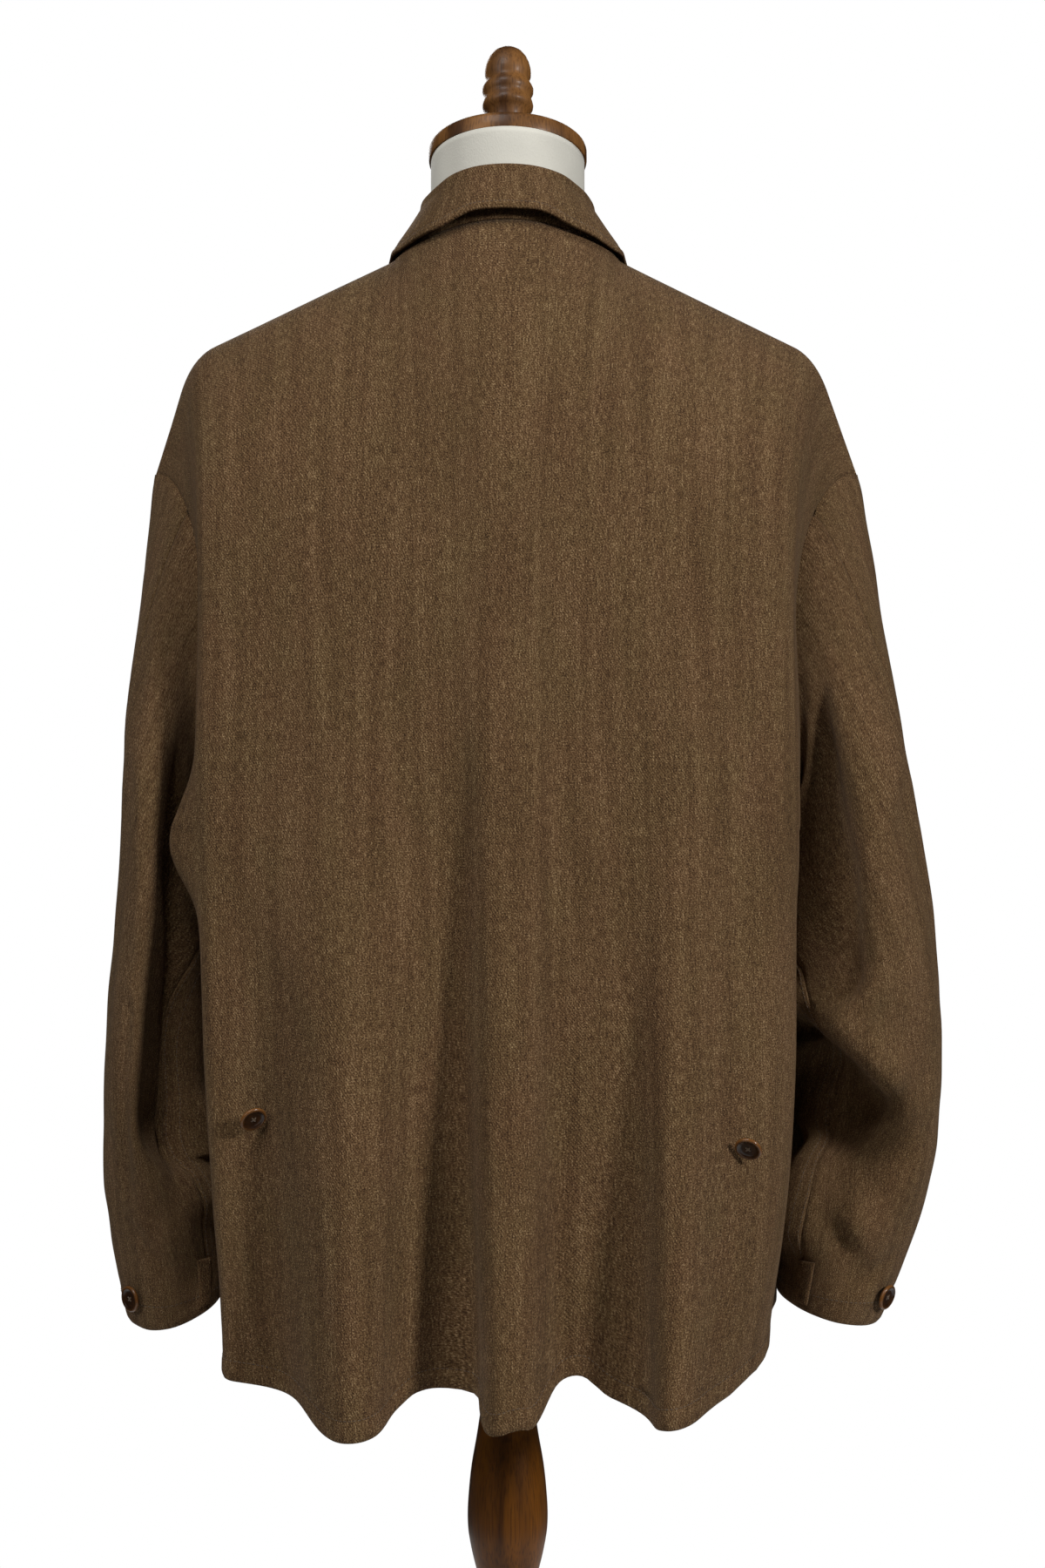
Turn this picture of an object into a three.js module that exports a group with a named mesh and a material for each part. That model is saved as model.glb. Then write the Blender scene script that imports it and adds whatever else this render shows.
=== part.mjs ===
// Battle dress jacket of brown wool serge, hanging buttoned on a limbless dress form with a turned stand.
// Millimetres, +Z up. The floor is Z = 0 under the pole. The front of the jacket faces -Y, and the
// wearer's left is +X. Each piece of cloth is a thin closed wall: outer points worked out by a function
// of two directions, and the same points moved inwards by the thickness of the cloth.
import * as THREE from "three";
import { mergeVertices } from "three/addons/utils/BufferGeometryUtils.js";

// Cloth and seams
const cloth = 2;
const doubledCloth = 2.6;
const seamGap = 0.4;
const layerGap = 0.4;

// Heights of the body's main levels
const hemHeight = 721;
const armpitHeight = 1061;
const bladeHeight = 1200;

// Rows of the body's walls, from the hem up, and columns from the middle out
const rowsBelowArmpit = 12;
const rowsOfArmhole = 6;
const rowsOverShoulder = 6;
const backColumnsToEdge = 14;
const frontColumnsInside = 13;
const columnsEdgeToSeam = 4;
const edgeAt = 0.74;
const backNeckAt = (edgeAt * 6) / backColumnsToEdge;
const frontEdgeAt = 0.26;
const frontNeckAt = frontEdgeAt + ((1 - frontEdgeAt) * 8) / frontColumnsInside;
const overlapColumns = 2;

// Neckline and shoulder line of the jacket, on its outer face
const neckHalfWidth = 76;
const neckSideHeight = 1450;
const neckBack = { y: 62, z: 1466 };
const neckFront = { y: -78, z: 1400 };
const shoulder = { left: { x: 218, z: 1384 }, right: { x: 213, z: 1384 } };
const sleeveTop = { left: { x: 243, z: 1304 }, right: { x: 241, z: 1304 } };
const armholeDepth = 52;

// Dress form
const formClearance = 0.5;
const formBottom = 780;
const neckRadius = { x: 53, y: 54.5 };
const neckTilt = THREE.MathUtils.degToRad(12);
const neckTopCentre = { y: -4, z: 1518.5 };
const capThickness = 13;

const placket = { from: 0.9, to: 0.985, behind: 0.19, ahead: 0.05, lift: 0.7, rows: 4 };
const buttonRadius = 8.7;
const buttonShank = 3;
const drooping = { shank: 5.5, tilt: 24 };

/** A point, with X to the wearer's left, Y to the back and Z up. */
const point = (x, y, z) => new THREE.Vector3(x, y, z);

/** Rows of numbers under named columns. */
function table(columns, rows) {
  const names = columns.split(" ");
  return rows.map((row) => Object.fromEntries(row.map((value, i) => [names[i], value])));
}

// The back's cross sections: its middle, and the edge where it turns forward on each side
const backSections = table("z middle leftX leftY rightX rightY", [
  [700, 136, 181, 112, 166, 118],
  [800, 131, 187, 108, 188, 111],
  [900, 126, 195, 103, 195, 104],
  [1000, 120, 199, 97, 193, 97],
  [1100, 115, 201, 91, 188, 91],
  [1200, 111, 201, 84, 186, 84],
]);

// The back's hem, from the right seam to the left one: it dips under each ridge of the cloth
const hemLine = table("across z", [
  [-1, 722],
  [-0.7, 718],
  [-0.6, 711.5],
  [-0.51, 709],
  [-0.42, 707],
  [-0.33, 711],
  [-0.25, 719.5],
  [-0.2, 726.5],
  [-0.14, 723],
  [-0.08, 717],
  [-0.04, 710.5],
  [0.04, 704.5],
  [0.07, 706.5],
  [0.105, 719],
  [0.19, 720.5],
  [0.23, 713],
  [0.275, 704.5],
  [0.4, 700],
  [0.45, 701],
  [0.52, 707],
  [0.6, 711.5],
  [0.73, 716],
  [1, 718],
]);

// The fronts' cross sections, with the same columns
const frontSections = table("z middle leftX leftY rightX rightY", [
  [700, -148, 194, -94, 199, -92],
  [800, -142, 206, -88, 207, -88],
  [860, -138, 210, -85, 211, -85],
  [950, -132, 205, -82, 207, -82],
  [1061, -126, 197, -80, 196, -80],
  [1200, -118, 180, -80, 178, -80],
]);

// The side seam, and above the armpit the line of the armhole
const seamSections = table("z leftX leftY rightX rightY", [
  [700, 184, 0, 175, 4],
  [800, 186, 0, 180, -2],
  [900, 188, 0, 183, -4],
  [1000, 193, 0, 187, -2],
  [1061, 205, 2, 197, 0],
  [1200, 203, 0, 192, 0],
]);

// Ridges of the hanging cloth: where each starts and ends, how wide it is, how steep its sides are
// and how far it stands out
const backFolds = table("topX topZ hemX spread steep depth", [
  [114, 1230, 93, 28, 2, 54],
  [0, 1260, -3, 20, 4, 50],
  [-120, 1230, -100, 25, 2, 54],
]);
const frontFolds = table("topX topZ hemX spread steep depth", [
  [70, 1180, 84, 26, 2, 24],
  [-72, 1200, -88, 28, 2, 22],
  [136, 1100, 140, 20, 2, 12],
  [-138, 1090, -146, 20, 2, 14],
]);

// Sleeve rings from the armhole to the cuff: the outermost and innermost points, then the middle,
// half length and turning in, at the back, of the flattened section
const sleeveRings = {
  left: table("t outX outZ inX inZ middleY long turn", [
    [0, 243, 1304, 205, 1061, 0, 55, 0],
    [0.1, 251, 1250, 217, 1034, 0, 60, 0],
    [0.2, 257, 1190, 207, 1006, -2, 72, 0],
    [0.35, 261, 1100, 202, 962, -5, 80, -2],
    [0.5, 267, 1010, 201, 910, -8, 78, -4],
    [0.6, 274, 945, 202, 872, -9, 75, -4],
    [0.69, 278, 888, 212, 836, -10, 69, 0],
    [0.74, 278, 860, 200, 817, -10, 68, -1],
    [0.8, 278, 830, 193, 796, -9, 65, -1],
    [0.85, 276, 805, 191, 778, -8, 62, -2],
    [0.92, 270, 770, 190, 752, -7, 57, -1],
    [1, 260, 731, 193, 724, -5, 52, 0],
  ]),
  right: table("t outX outZ inX inZ middleY long turn", [
    [0, 241, 1304, 203, 1061, 0, 55, 0],
    [0.1, 252, 1250, 211, 1034, 0, 62, 0],
    [0.2, 262, 1190, 200, 1006, -2, 72, 0],
    [0.35, 275, 1100, 195, 962, -4, 80, -2],
    [0.5, 291, 1010, 194, 915, -6, 78, -3],
    [0.6, 297, 945, 198, 878, -8, 74, -3],
    [0.69, 298, 889, 211, 841, -9, 70, -1],
    [0.74, 297, 860, 196, 822, -9, 68, -1],
    [0.79, 294, 835, 189, 803, -9, 66, -2],
    [0.85, 287, 804, 186, 780, -8, 62, -1],
    [0.92, 274, 770, 185, 754, -7, 57, -1],
    [1, 256, 731, 185, 722, -5, 53, 0],
  ]),
};
const sleeveLength = 600;
const sleeveRadius = 60;
const seamTwist = 45;

// Troughs of the sleeves, pressed forwards along a line between two places, in degrees from the
// outer side round the back; a negative one presses backwards from the front
const sleeveFolds = {
  left: table("t0 turn0 t1 turn1 width depth", [
    [0.2, 100, 0.72, 108, 10, 5],
    [0.55, 20, 0.9, 62, 12, 3.5],
    [0.8, 150, 0.95, 120, 12, 4],
    [0.3, 250, 0.6, 290, 14, -6],
  ]),
  right: table("t0 turn0 t1 turn1 width depth", [
    [0.6, 165, 0.74, 105, 25, 40],
    [0.83, 120, 0.92, 92, 9, 5],
    [0.15, 128, 0.45, 138, 14, 7],
    [0.4, 255, 0.65, 290, 14, -6],
  ]),
};

// Collar, by the share of the neckline from the centre back to the centre front: how far the stand
// draws in and rises, and where the edge of the fall lies
const collarRows = table("share drawIn rise edgeX edgeY edgeZ", [
  [0, 0.97, 36, 0, 73, 1471.5],
  [0.091, 0.95, 36, 24, 71, 1470],
  [0.182, 0.89, 36.5, 44, 62.5, 1462],
  [0.273, 0.81, 37, 60, 50, 1457.5],
  [0.364, 0.765, 38, 71, 34, 1454],
  [0.455, 0.745, 38.5, 79, 17, 1453],
  [0.545, 0.74, 38.5, 82, 0, 1452.5],
  [0.636, 0.76, 36, 86, -30, 1444],
  [0.727, 0.8, 32, 82, -58, 1427],
  [0.818, 0.84, 29, 68, -86, 1404],
  [0.909, 0.88, 26, 51, -103, 1383],
  [1, 0.9, 22, 36, -111, 1365],
]);

// The fall's turn over the top of the stand, outwards from the stand's face and up from the fold
const foldRows = table("out up", [
  [-2.4, -2.6],
  [-1.9, -0.9],
  [0.4, 0.6],
  [3.4, -0.8],
  [4.6, -6],
]);
const rowsOfFall = 4;
const standBelowFold = 4.4;
const collarMeeting = 1.5;

// Hip pockets by the fronts' own columns and rows, and how far their flaps hang down, in rows
const pocket = { columns: [3, 12], rows: [1, 5], belly: 3 };
const flap = { seat: 5.4, bend: 5.12, sideDrop: 1.3, tipDrop: 2.1, clear: 2.8, fall: 3.2, proud: 7, rows: 4 };

/** A smooth curve through a table's rows, read at one place of its key column. */
function read(rows, key, at, column) {
  let i = 0;
  while (i < rows.length - 2 && at > rows[i + 1][key]) i += 1;
  const [a, b] = [rows[i], rows[i + 1]];
  const before = rows[Math.max(i - 1, 0)];
  const after = rows[Math.min(i + 2, rows.length - 1)];
  const step = b[key] - a[key];
  const s = THREE.MathUtils.clamp((at - a[key]) / step, 0, 1);
  const slopeA = ((b[column] - before[column]) / (b[key] - before[key])) * step;
  const slopeB = ((after[column] - a[column]) / (after[key] - a[key])) * step;
  const [s2, s3] = [s * s, s * s * s];
  return (
    (2 * s3 - 3 * s2 + 1) * a[column] +
    (s3 - 2 * s2 + s) * slopeA +
    (3 * s2 - 2 * s3) * b[column] +
    (s3 - s2) * slopeB
  );
}

/** The mean of a line over a short window, which rounds its corners. */
function soften(line, at, reach, samples = 7) {
  const sum = point(0, 0, 0);
  for (let i = 0; i < samples; i += 1) sum.add(line(at + reach * ((2 * i) / (samples - 1) - 1)));
  return sum.divideScalar(samples);
}

const mix = THREE.MathUtils.lerp;
const clamp01 = (value) => THREE.MathUtils.clamp(value, 0, 1);
const bell = (distance, spread) => Math.exp(-(distance * distance) / (2 * spread * spread));
const sideOf = (sign) => (sign < 0 ? "right" : "left");

/** How far the folds stand out at a place, growing from nothing at their top to the hem. */
function foldHeight(folds, x, z) {
  let height = 0;
  for (const fold of folds) {
    const share = clamp01((fold.topZ - z) / (fold.topZ - hemHeight));
    const centre = mix(fold.topX, fold.hemX, share);
    const away = Math.abs(x - centre) / fold.spread;
    height += fold.depth * share ** 1.4 * Math.exp(-(away ** fold.steep) / 2);
  }
  return height;
}

/** The side seam and armhole line at a height; facing is 1 on the back and -1 on the front. */
function seamPoint(sign, z, facing) {
  const side = sideOf(sign);
  const up = clamp01((z - armpitHeight) / (bladeHeight - armpitHeight));
  const depth = facing * armholeDepth * Math.sqrt(1 - (1 - up) ** 2);
  const y = read(seamSections, "z", z, side + "Y");
  return point(sign * read(seamSections, "z", z, side + "X"), y + depth, z);
}

/** A cross section of the body below the blades: across is 0 in the middle and 1 at the seam. */
function crossSection(sections, facing, edgeShare, cornerReach, across, sign, z) {
  const line = (at) => {
    const turned = at < 0 ? -sign : sign;
    const side = sideOf(turned);
    const share = Math.abs(at);
    const edgeX = read(sections, "z", z, side + "X");
    const edgeY = read(sections, "z", z, side + "Y");
    const middle = read(sections, "z", z, "middle");
    if (share <= edgeShare) {
      const s = share / edgeShare;
      return point(turned * edgeX * s, mix(middle, edgeY, s * s), z);
    }
    const seam = seamPoint(turned, z, facing);
    return point(turned * edgeX, edgeY, z).lerp(seam, (share - edgeShare) / (1 - edgeShare));
  };
  return soften(line, across, cornerReach);
}

/** The shoulder line, from the neck at 0 over its corner at 0.74 to the sleeve seam at 1. */
function shoulderLine(sign, share) {
  const side = sideOf(sign);
  const corner = point(sign * shoulder[side].x, 0, shoulder[side].z);
  const line = (at) => {
    if (at < edgeAt) return point(sign * neckHalfWidth, 0, neckSideHeight).lerp(corner, at / edgeAt);
    const end = point(sign * sleeveTop[side].x, 0, sleeveTop[side].z);
    return corner.clone().lerp(end, (at - edgeAt) / (1 - edgeAt));
  };
  return soften(line, share, 0.07);
}

/** The upper edge of the back or a front: neckline, then shoulder line. */
function upperEdge(sign, across, neckAt, edgeShare, neckMiddle) {
  if (across > neckAt) {
    const inner = (across - neckAt) / (edgeShare - neckAt);
    const outer = (across - edgeShare) / (1 - edgeShare);
    return shoulderLine(sign, across < edgeShare ? inner * edgeAt : mix(edgeAt, 1, outer));
  }
  const angle = (Math.abs(across) / neckAt) * (Math.PI / 2);
  const rise = (neckSideHeight - neckMiddle.z) * Math.sin(angle) ** 2;
  const x = sign * Math.sign(across || 1) * neckHalfWidth * Math.sin(angle);
  return point(x, neckMiddle.y * Math.cos(angle), neckMiddle.z + rise);
}

/** Carries a cross section up and over to the upper edge on part of an ellipse. */
function overShoulder(below, above, up, fullTurn) {
  const turn = up * fullTurn;
  const forward = (1 - Math.cos(turn)) / (1 - Math.cos(fullTurn));
  const height = Math.sin(turn) / Math.sin(fullTurn);
  return point(
    mix(below.x, above.x, forward),
    mix(below.y, above.y, forward),
    mix(below.z, above.z, height),
  );
}

// The body's rows: 0 to 1 from hem to armpit, 1 to 2 up to the blades and 2 to 3 over the shoulder
const armpitRow = 1;
const topRow = 3;
const bodyRows = [
  ...Array.from({ length: rowsBelowArmpit }, (_, i) => i / rowsBelowArmpit),
  ...Array.from({ length: rowsOfArmhole }, (_, i) => 1 + i / rowsOfArmhole),
  ...Array.from({ length: rowsOverShoulder + 1 }, (_, i) => 2 + i / rowsOverShoulder),
];

/** The height of a row of the body, whose lowest row is the hem. */
function rowHeight(row, lowest) {
  if (row < 1) return mix(lowest, armpitHeight, row);
  return mix(armpitHeight, bladeHeight, Math.min(row - 1, 1));
}

const squareAngle = Math.PI / 2;
const backNeckTurn = THREE.MathUtils.degToRad(58);
const frontNeckTurn = THREE.MathUtils.degToRad(52);
const frontHem = hemHeight - 4;
const tuckFrom = 26;
const tuckFade = 40;

/** The arc's turn eases from its value at the middle of the neck to a right angle at the shoulder. */
function turnTo(neckTurn, share) {
  return mix(neckTurn, squareAngle, THREE.MathUtils.smoothstep(share, 0, 1));
}

/** The corner's roundness: the left edge of the back stays sharp down to the hem. */
function backCorner(sign, z) {
  const low = clamp01((bladeHeight - z) / (bladeHeight - hemHeight));
  return sign > 0 ? mix(0.09, 0.05, low) : mix(0.09, 0.17, low);
}

/** The back's outer face: across runs from -1 at the right seam to 1 at the left one. */
function backPoint(across, row) {
  const sign = across < 0 ? -1 : 1;
  const share = Math.abs(across);
  const place = (z) => {
    const at = crossSection(backSections, 1, edgeAt, backCorner(sign, z), share, sign, z);
    const inside = clamp01((1 - share) / (1 - edgeAt));
    at.y += foldHeight(backFolds, at.x, z) * inside;
    at.x += sign * sidePinch(sign, share, z);
    return at;
  };
  const below = place(rowHeight(row, read(hemLine, "across", across, "z")));
  if (row <= 2) return below;
  const above = upperEdge(sign, share, backNeckAt, edgeAt, neckBack);
  return overShoulder(below, above, row - 2, turnTo(backNeckTurn, share / backNeckAt));
}

const pinch = { share: 0.78, width: 0.034, z: 1056, height: 26, depth: 18 };

/** The fold of spare cloth that juts out below the left armhole. */
function sidePinch(sign, share, z) {
  if (sign < 0) return 0;
  return pinch.depth * bell(share - pinch.share, pinch.width) * bell(z - pinch.z, pinch.height);
}

/** A front before it is tucked under the other one. */
function plainFrontPoint(sign, across, row) {
  const share = 1 - across;
  const edgeShare = 1 - frontEdgeAt;
  const place = (z) => {
    const at = crossSection(frontSections, -1, edgeShare, 0.1, share, sign, z);
    at.y -= foldHeight(frontFolds, at.x, z) * clamp01(across / frontEdgeAt);
    return at;
  };
  const below = place(rowHeight(row, frontHem));
  if (row <= 2) return below;
  const neckShare = 1 - frontNeckAt;
  const above = upperEdge(sign, share, neckShare, edgeShare, neckFront);
  const fullTurn = turnTo(frontNeckTurn, Math.abs(share) / neckShare);
  return overShoulder(below, above, row - 2, fullTurn);
}

/** A front's outer face: across runs from 0 at the side seam to 1 in the middle and past it. */
function frontPoint(sign, across, row) {
  const at = plainFrontPoint(sign, across, row);
  if (sign > 0) return at;
  const plain = (a, b) => plainFrontPoint(sign, a, Math.min(b, topRow));
  const { out } = placeOn(plain, across, row, -sign);
  const tucked = 1 - clamp01((Math.abs(at.x) - tuckFrom) / tuckFade);
  return at.addScaledVector(out, -tucked * (cloth + layerGap));
}

/** The armhole's loop: angle 0 at the top, then down the back to the armpit and up the front. */
function armholePoint(sign, angle) {
  const down = angle <= Math.PI ? angle / Math.PI : 2 - angle / Math.PI;
  const row = topRow - down * (topRow - armpitRow);
  return angle <= Math.PI ? backPoint(sign, row) : frontPoint(sign, 0, row);
}

/** How far a sleeve's troughs are sunk at a place. */
function sleeveTrough(side, t, degrees) {
  let depth = 0;
  for (const fold of sleeveFolds[side]) {
    const along = (fold.t1 - fold.t0) * sleeveLength;
    const round = THREE.MathUtils.degToRad(fold.turn1 - fold.turn0) * sleeveRadius;
    const fromT = (t - fold.t0) * sleeveLength;
    const fromRound = THREE.MathUtils.degToRad(degrees - fold.turn0) * sleeveRadius;
    const s = clamp01((fromT * along + fromRound * round) / (along * along + round * round));
    depth += fold.depth * bell(Math.hypot(fromT - s * along, fromRound - s * round), fold.width);
  }
  return depth;
}

/** A sleeve's outer face: t from the armhole to the cuff, angle round it from the top over the back. */
function sleevePoint(sign, t, angle) {
  const side = sideOf(sign);
  const ring = (column) => read(sleeveRings[side], "t", t, column);
  const twist = THREE.MathUtils.degToRad(seamTwist) * THREE.MathUtils.smoothstep(t, 0.08, 0.55);
  const place = angle - twist;
  const turn = THREE.MathUtils.degToRad(ring("turn"));
  const degrees = (THREE.MathUtils.radToDeg(place) + 360) % 360;
  const reach = (ring("outX") - ring("inX")) / 2;
  const long = ring("long");
  const short = Math.sqrt(reach ** 2 - (long * Math.sin(turn)) ** 2) / Math.cos(turn);
  const across = short * Math.cos(place);
  const deep = long * Math.sin(place);
  const x = across * Math.cos(turn) - deep * Math.sin(turn);
  const y = across * Math.sin(turn) + deep * Math.cos(turn) - sleeveTrough(side, t, degrees);
  const height = mix(ring("inZ"), ring("outZ"), (x / reach + 1) / 2);
  const tube = point(sign * (ring("outX") - reach + x), ring("middleY") + y, height);
  return armholePoint(sign, angle).lerp(tube, THREE.MathUtils.smoothstep(t, 0, 0.3));
}

/** Outer points and outward directions of a wall, over two lists of places. */
function panel(name, surface, along, up, outward) {
  const grid = up.map((b) => along.map((a) => surface(a, b)));
  const last = { row: up.length - 1, column: along.length - 1 };
  const directions = grid.map((line, r) =>
    line.map((_, c) => {
      const across = grid[r][Math.min(c + 1, last.column)].clone();
      across.sub(grid[r][Math.max(c - 1, 0)]);
      const upward = grid[Math.min(r + 1, last.row)][c].clone();
      upward.sub(grid[Math.max(r - 1, 0)][c]);
      return across.cross(upward).normalize().multiplyScalar(outward);
    }),
  );
  return { name, grid, directions, outward };
}

/** Gives the points that panels share along a seam one common direction, so walls meet flush. */
function matchSeams(panels) {
  const shared = new Map();
  const keyOf = (p) => [p.x, p.y, p.z].map((value) => Math.round(value * 20)).join(" ");
  const visit = (act) =>
    panels.forEach(({ grid, directions }) =>
      grid.forEach((line, r) => line.forEach((p, c) => act(keyOf(p), directions, r, c))),
    );
  visit((key, directions, r, c) => {
    if (!shared.has(key)) shared.set(key, point(0, 0, 0));
    shared.get(key).add(directions[r][c]);
  });
  visit((key, directions, r, c) => {
    directions[r][c] = shared.get(key).clone().normalize();
  });
}

/** Draws a panel's border in by half a seam's gap. */
function drawIn({ grid }) {
  const last = { row: grid.length - 1, column: grid[0].length - 1 };
  const moved = grid.map((line) => line.map((p) => p.clone()));
  const shift = (r, c, nearR, nearC) => {
    const step = grid[nearR][nearC].clone().sub(grid[r][c]).setLength(seamGap / 2);
    moved[r][c].add(step);
  };
  for (let c = 0; c <= last.column; c += 1) {
    shift(0, c, 1, c);
    shift(last.row, c, last.row - 1, c);
  }
  for (let r = 0; r <= last.row; r += 1) {
    shift(r, 0, r, 1);
    shift(r, last.column, r, last.column - 1);
  }
  return moved;
}

/** A closed wall from its outer points, of a thickness measured inwards. */
function wall(grid, directions, thickness, outward) {
  const [rows, columns] = [grid.length, grid[0].length];
  const inner = grid.map((line, r) =>
    line.map((p, c) => p.clone().addScaledVector(directions[r][c], -thickness)),
  );
  const positions = [...grid.flat(), ...inner.flat()].flatMap((p) => [p.x, p.y, p.z]);
  const outerAt = (r, c) => r * columns + c;
  const innerAt = (r, c) => rows * columns + r * columns + c;
  const faces = [];
  const quad = (a, b, c, d) => faces.push(...(outward > 0 ? [a, b, c, a, c, d] : [a, c, b, a, d, c]));
  for (let r = 0; r < rows - 1; r += 1) {
    for (let c = 0; c < columns - 1; c += 1) {
      quad(outerAt(r, c), outerAt(r, c + 1), outerAt(r + 1, c + 1), outerAt(r + 1, c));
      quad(innerAt(r, c), innerAt(r + 1, c), innerAt(r + 1, c + 1), innerAt(r, c + 1));
    }
    quad(outerAt(r + 1, 0), innerAt(r + 1, 0), innerAt(r, 0), outerAt(r, 0));
    const end = columns - 1;
    quad(outerAt(r, end), innerAt(r, end), innerAt(r + 1, end), outerAt(r + 1, end));
  }
  for (let c = 0; c < columns - 1; c += 1) {
    quad(outerAt(0, c), innerAt(0, c), innerAt(0, c + 1), outerAt(0, c + 1));
    const top = rows - 1;
    quad(outerAt(top, c + 1), innerAt(top, c + 1), innerAt(top, c), outerAt(top, c));
  }
  const geometry = new THREE.BufferGeometry();
  geometry.setAttribute("position", new THREE.Float32BufferAttribute(positions, 3));
  geometry.setIndex(faces);
  return geometry;
}

/** Evenly spaced places, both ends included. */
const spaced = (from, to, steps) =>
  Array.from({ length: steps + 1 }, (_, i) => mix(from, to, i / steps));

const dressing = new THREE.Group();
const finishes = {
  serge: new THREE.MeshStandardMaterial({ color: 0x56412b, roughness: 0.95 }),
  cream: new THREE.MeshStandardMaterial({ color: 0xcecbc0, roughness: 0.85 }),
  walnut: new THREE.MeshStandardMaterial({ color: 0x4a2f17, roughness: 0.45 }),
  horn: new THREE.MeshStandardMaterial({ color: 0x3a1f0e, roughness: 0.3 }),
};

/** Adds a named mesh of one finish to the group. */
function add(name, geometry, finish) {
  const mesh = new THREE.Mesh(geometry, finishes[finish]);
  mesh.name = name;
  dressing.add(mesh);
  return mesh;
}

/** Columns of the back, from the right seam to the left one. */
function backColumns() {
  const inside = spaced(0, edgeAt, backColumnsToEdge);
  const turned = spaced(edgeAt, 1, columnsEdgeToSeam).slice(1);
  const half = [...inside, ...turned];
  return [...half.slice(1).reverse().map((a) => -a), ...half];
}

/** Columns of a front, from the side seam to its edge past the middle. */
function frontColumns() {
  const side = spaced(0, frontEdgeAt, columnsEdgeToSeam);
  const inside = spaced(frontEdgeAt, 1, frontColumnsInside).slice(1);
  const step = (1 - frontEdgeAt) / frontColumnsInside;
  const past = spaced(1, 1 + step, overlapColumns).slice(1);
  return [...side, ...inside, ...past];
}

const armholeColumns = 2 * (rowsOfArmhole + rowsOverShoulder);
const backSeamColumn = 3;
const innerSeamColumn = armholeColumns / 2;
const sleeveRows = [
  0, 0.05, 0.1, 0.15, 0.2, 0.26, 0.32, 0.38, 0.44, 0.5,
  0.56, 0.61, 0.66, 0.71, 0.76, 0.82, 0.88, 0.94, 1,
];
const columnAngle = (column) => (column / armholeColumns) * 2 * Math.PI;

/** The under sleeve lies between the back seam and the inner seam; the top sleeve goes round the rest. */
function sleevePanels(sign) {
  const side = sideOf(sign);
  const surface = (angle, t) => sleevePoint(sign, t, angle % (2 * Math.PI));
  const columns = (from, to) => spaced(from, to, to - from).map(columnAngle);
  const under = columns(backSeamColumn, innerSeamColumn);
  const over = columns(innerSeamColumn, armholeColumns + backSeamColumn);
  return [
    panel("sleeve_under_" + side, surface, under, sleeveRows, -sign),
    panel("sleeve_top_" + side, surface, over, sleeveRows, -sign),
  ];
}

/** The body's and sleeves' panels, sewn together along shared points. */
function sewnPanels() {
  const panels = [panel("back", backPoint, backColumns(), bodyRows, -1)];
  for (const sign of [1, -1]) {
    const surface = (across, row) => frontPoint(sign, across, row);
    panels.push(panel("front_" + sideOf(sign), surface, frontColumns(), bodyRows, -sign));
    panels.push(...sleevePanels(sign));
  }
  return panels;
}

/** The neckline's points from the left middle front round the back to the right middle front. */
function neckline() {
  const front = frontColumns().filter((a) => a >= frontNeckAt - 1e-9 && a <= 1 + 1e-9);
  const back = backColumns().filter((a) => Math.abs(a) <= backNeckAt + 1e-9);
  const left = front.map((a) => ({ at: frontPoint(1, a, topRow), sign: 1 }));
  const right = front.map((a) => ({ at: frontPoint(-1, a, topRow), sign: -1 }));
  const middle = back.map((a) => ({ at: backPoint(a, topRow), sign: a < 0 ? -1 : 1 }));
  return [...left.slice(1).reverse(), ...middle.reverse(), ...right.slice(1)];
}

/** A share from 0 at the centre back to 1 at the centre front, for each point of the neckline. */
function neckShares(points) {
  const half = (points.length - 1) / 2;
  return points.map((_, i) => Math.abs(i - half) / half);
}

/** The places of a collar column: the neckline, the fold, the way outwards and the fall's edge. */
function collarPlace({ at, sign }, share) {
  const row = (column) => read(collarRows, "share", share, column);
  const start = share === 1 ? at.clone().setX(sign * collarMeeting) : at;
  const axis = point(0, neckTopCentre.y, 0);
  const away = start.clone().sub(axis).setZ(0);
  const fold = axis.addScaledVector(away, row("drawIn")).setZ(start.z + row("rise"));
  const edge = point(sign * row("edgeX"), row("edgeY"), row("edgeZ"));
  return { start, fold, edge, out: away.normalize() };
}

/** The stand rises from the neckline; the fall turns over it and lies outwards to the shoulders. */
function collarPanels() {
  const points = neckline();
  const shares = neckShares(points);
  const places = points.map((from, i) => collarPlace(from, shares[i]));
  const standPoint = (column, share) => {
    const { start, fold } = places[column];
    return start.clone().lerp(fold.clone().setZ(fold.z - standBelowFold), share);
  };
  const fallPoint = (column, row) => {
    const { fold, out, edge } = places[column];
    const last = foldRows.length - 1;
    const turn = foldRows[Math.min(row, last)];
    const at = fold.clone().addScaledVector(out, turn.out).setZ(fold.z + turn.up);
    return row > last ? at.lerp(edge, (row - last) / rowsOfFall) : at;
  };
  const columns = points.map((_, i) => i);
  const fallRows = spaced(0, foldRows.length - 1 + rowsOfFall, foldRows.length - 1 + rowsOfFall);
  return {
    stand: panel("collar_stand", standPoint, columns, [0, 0.35, 0.7, 1], 1),
    fall: panel("collar_fall", fallPoint, columns, fallRows, -1),
  };
}

/** A place on a surface with its outward direction. */
function placeOn(surface, a, b, outward, stepA = 0.01, stepB = 0.02) {
  const across = surface(a + stepA, b).sub(surface(a - stepA, b));
  const upward = surface(a, b + stepB).sub(surface(a, b - stepB));
  const out = across.cross(upward).normalize().multiplyScalar(outward);
  return { at: surface(a, b), out };
}


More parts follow.
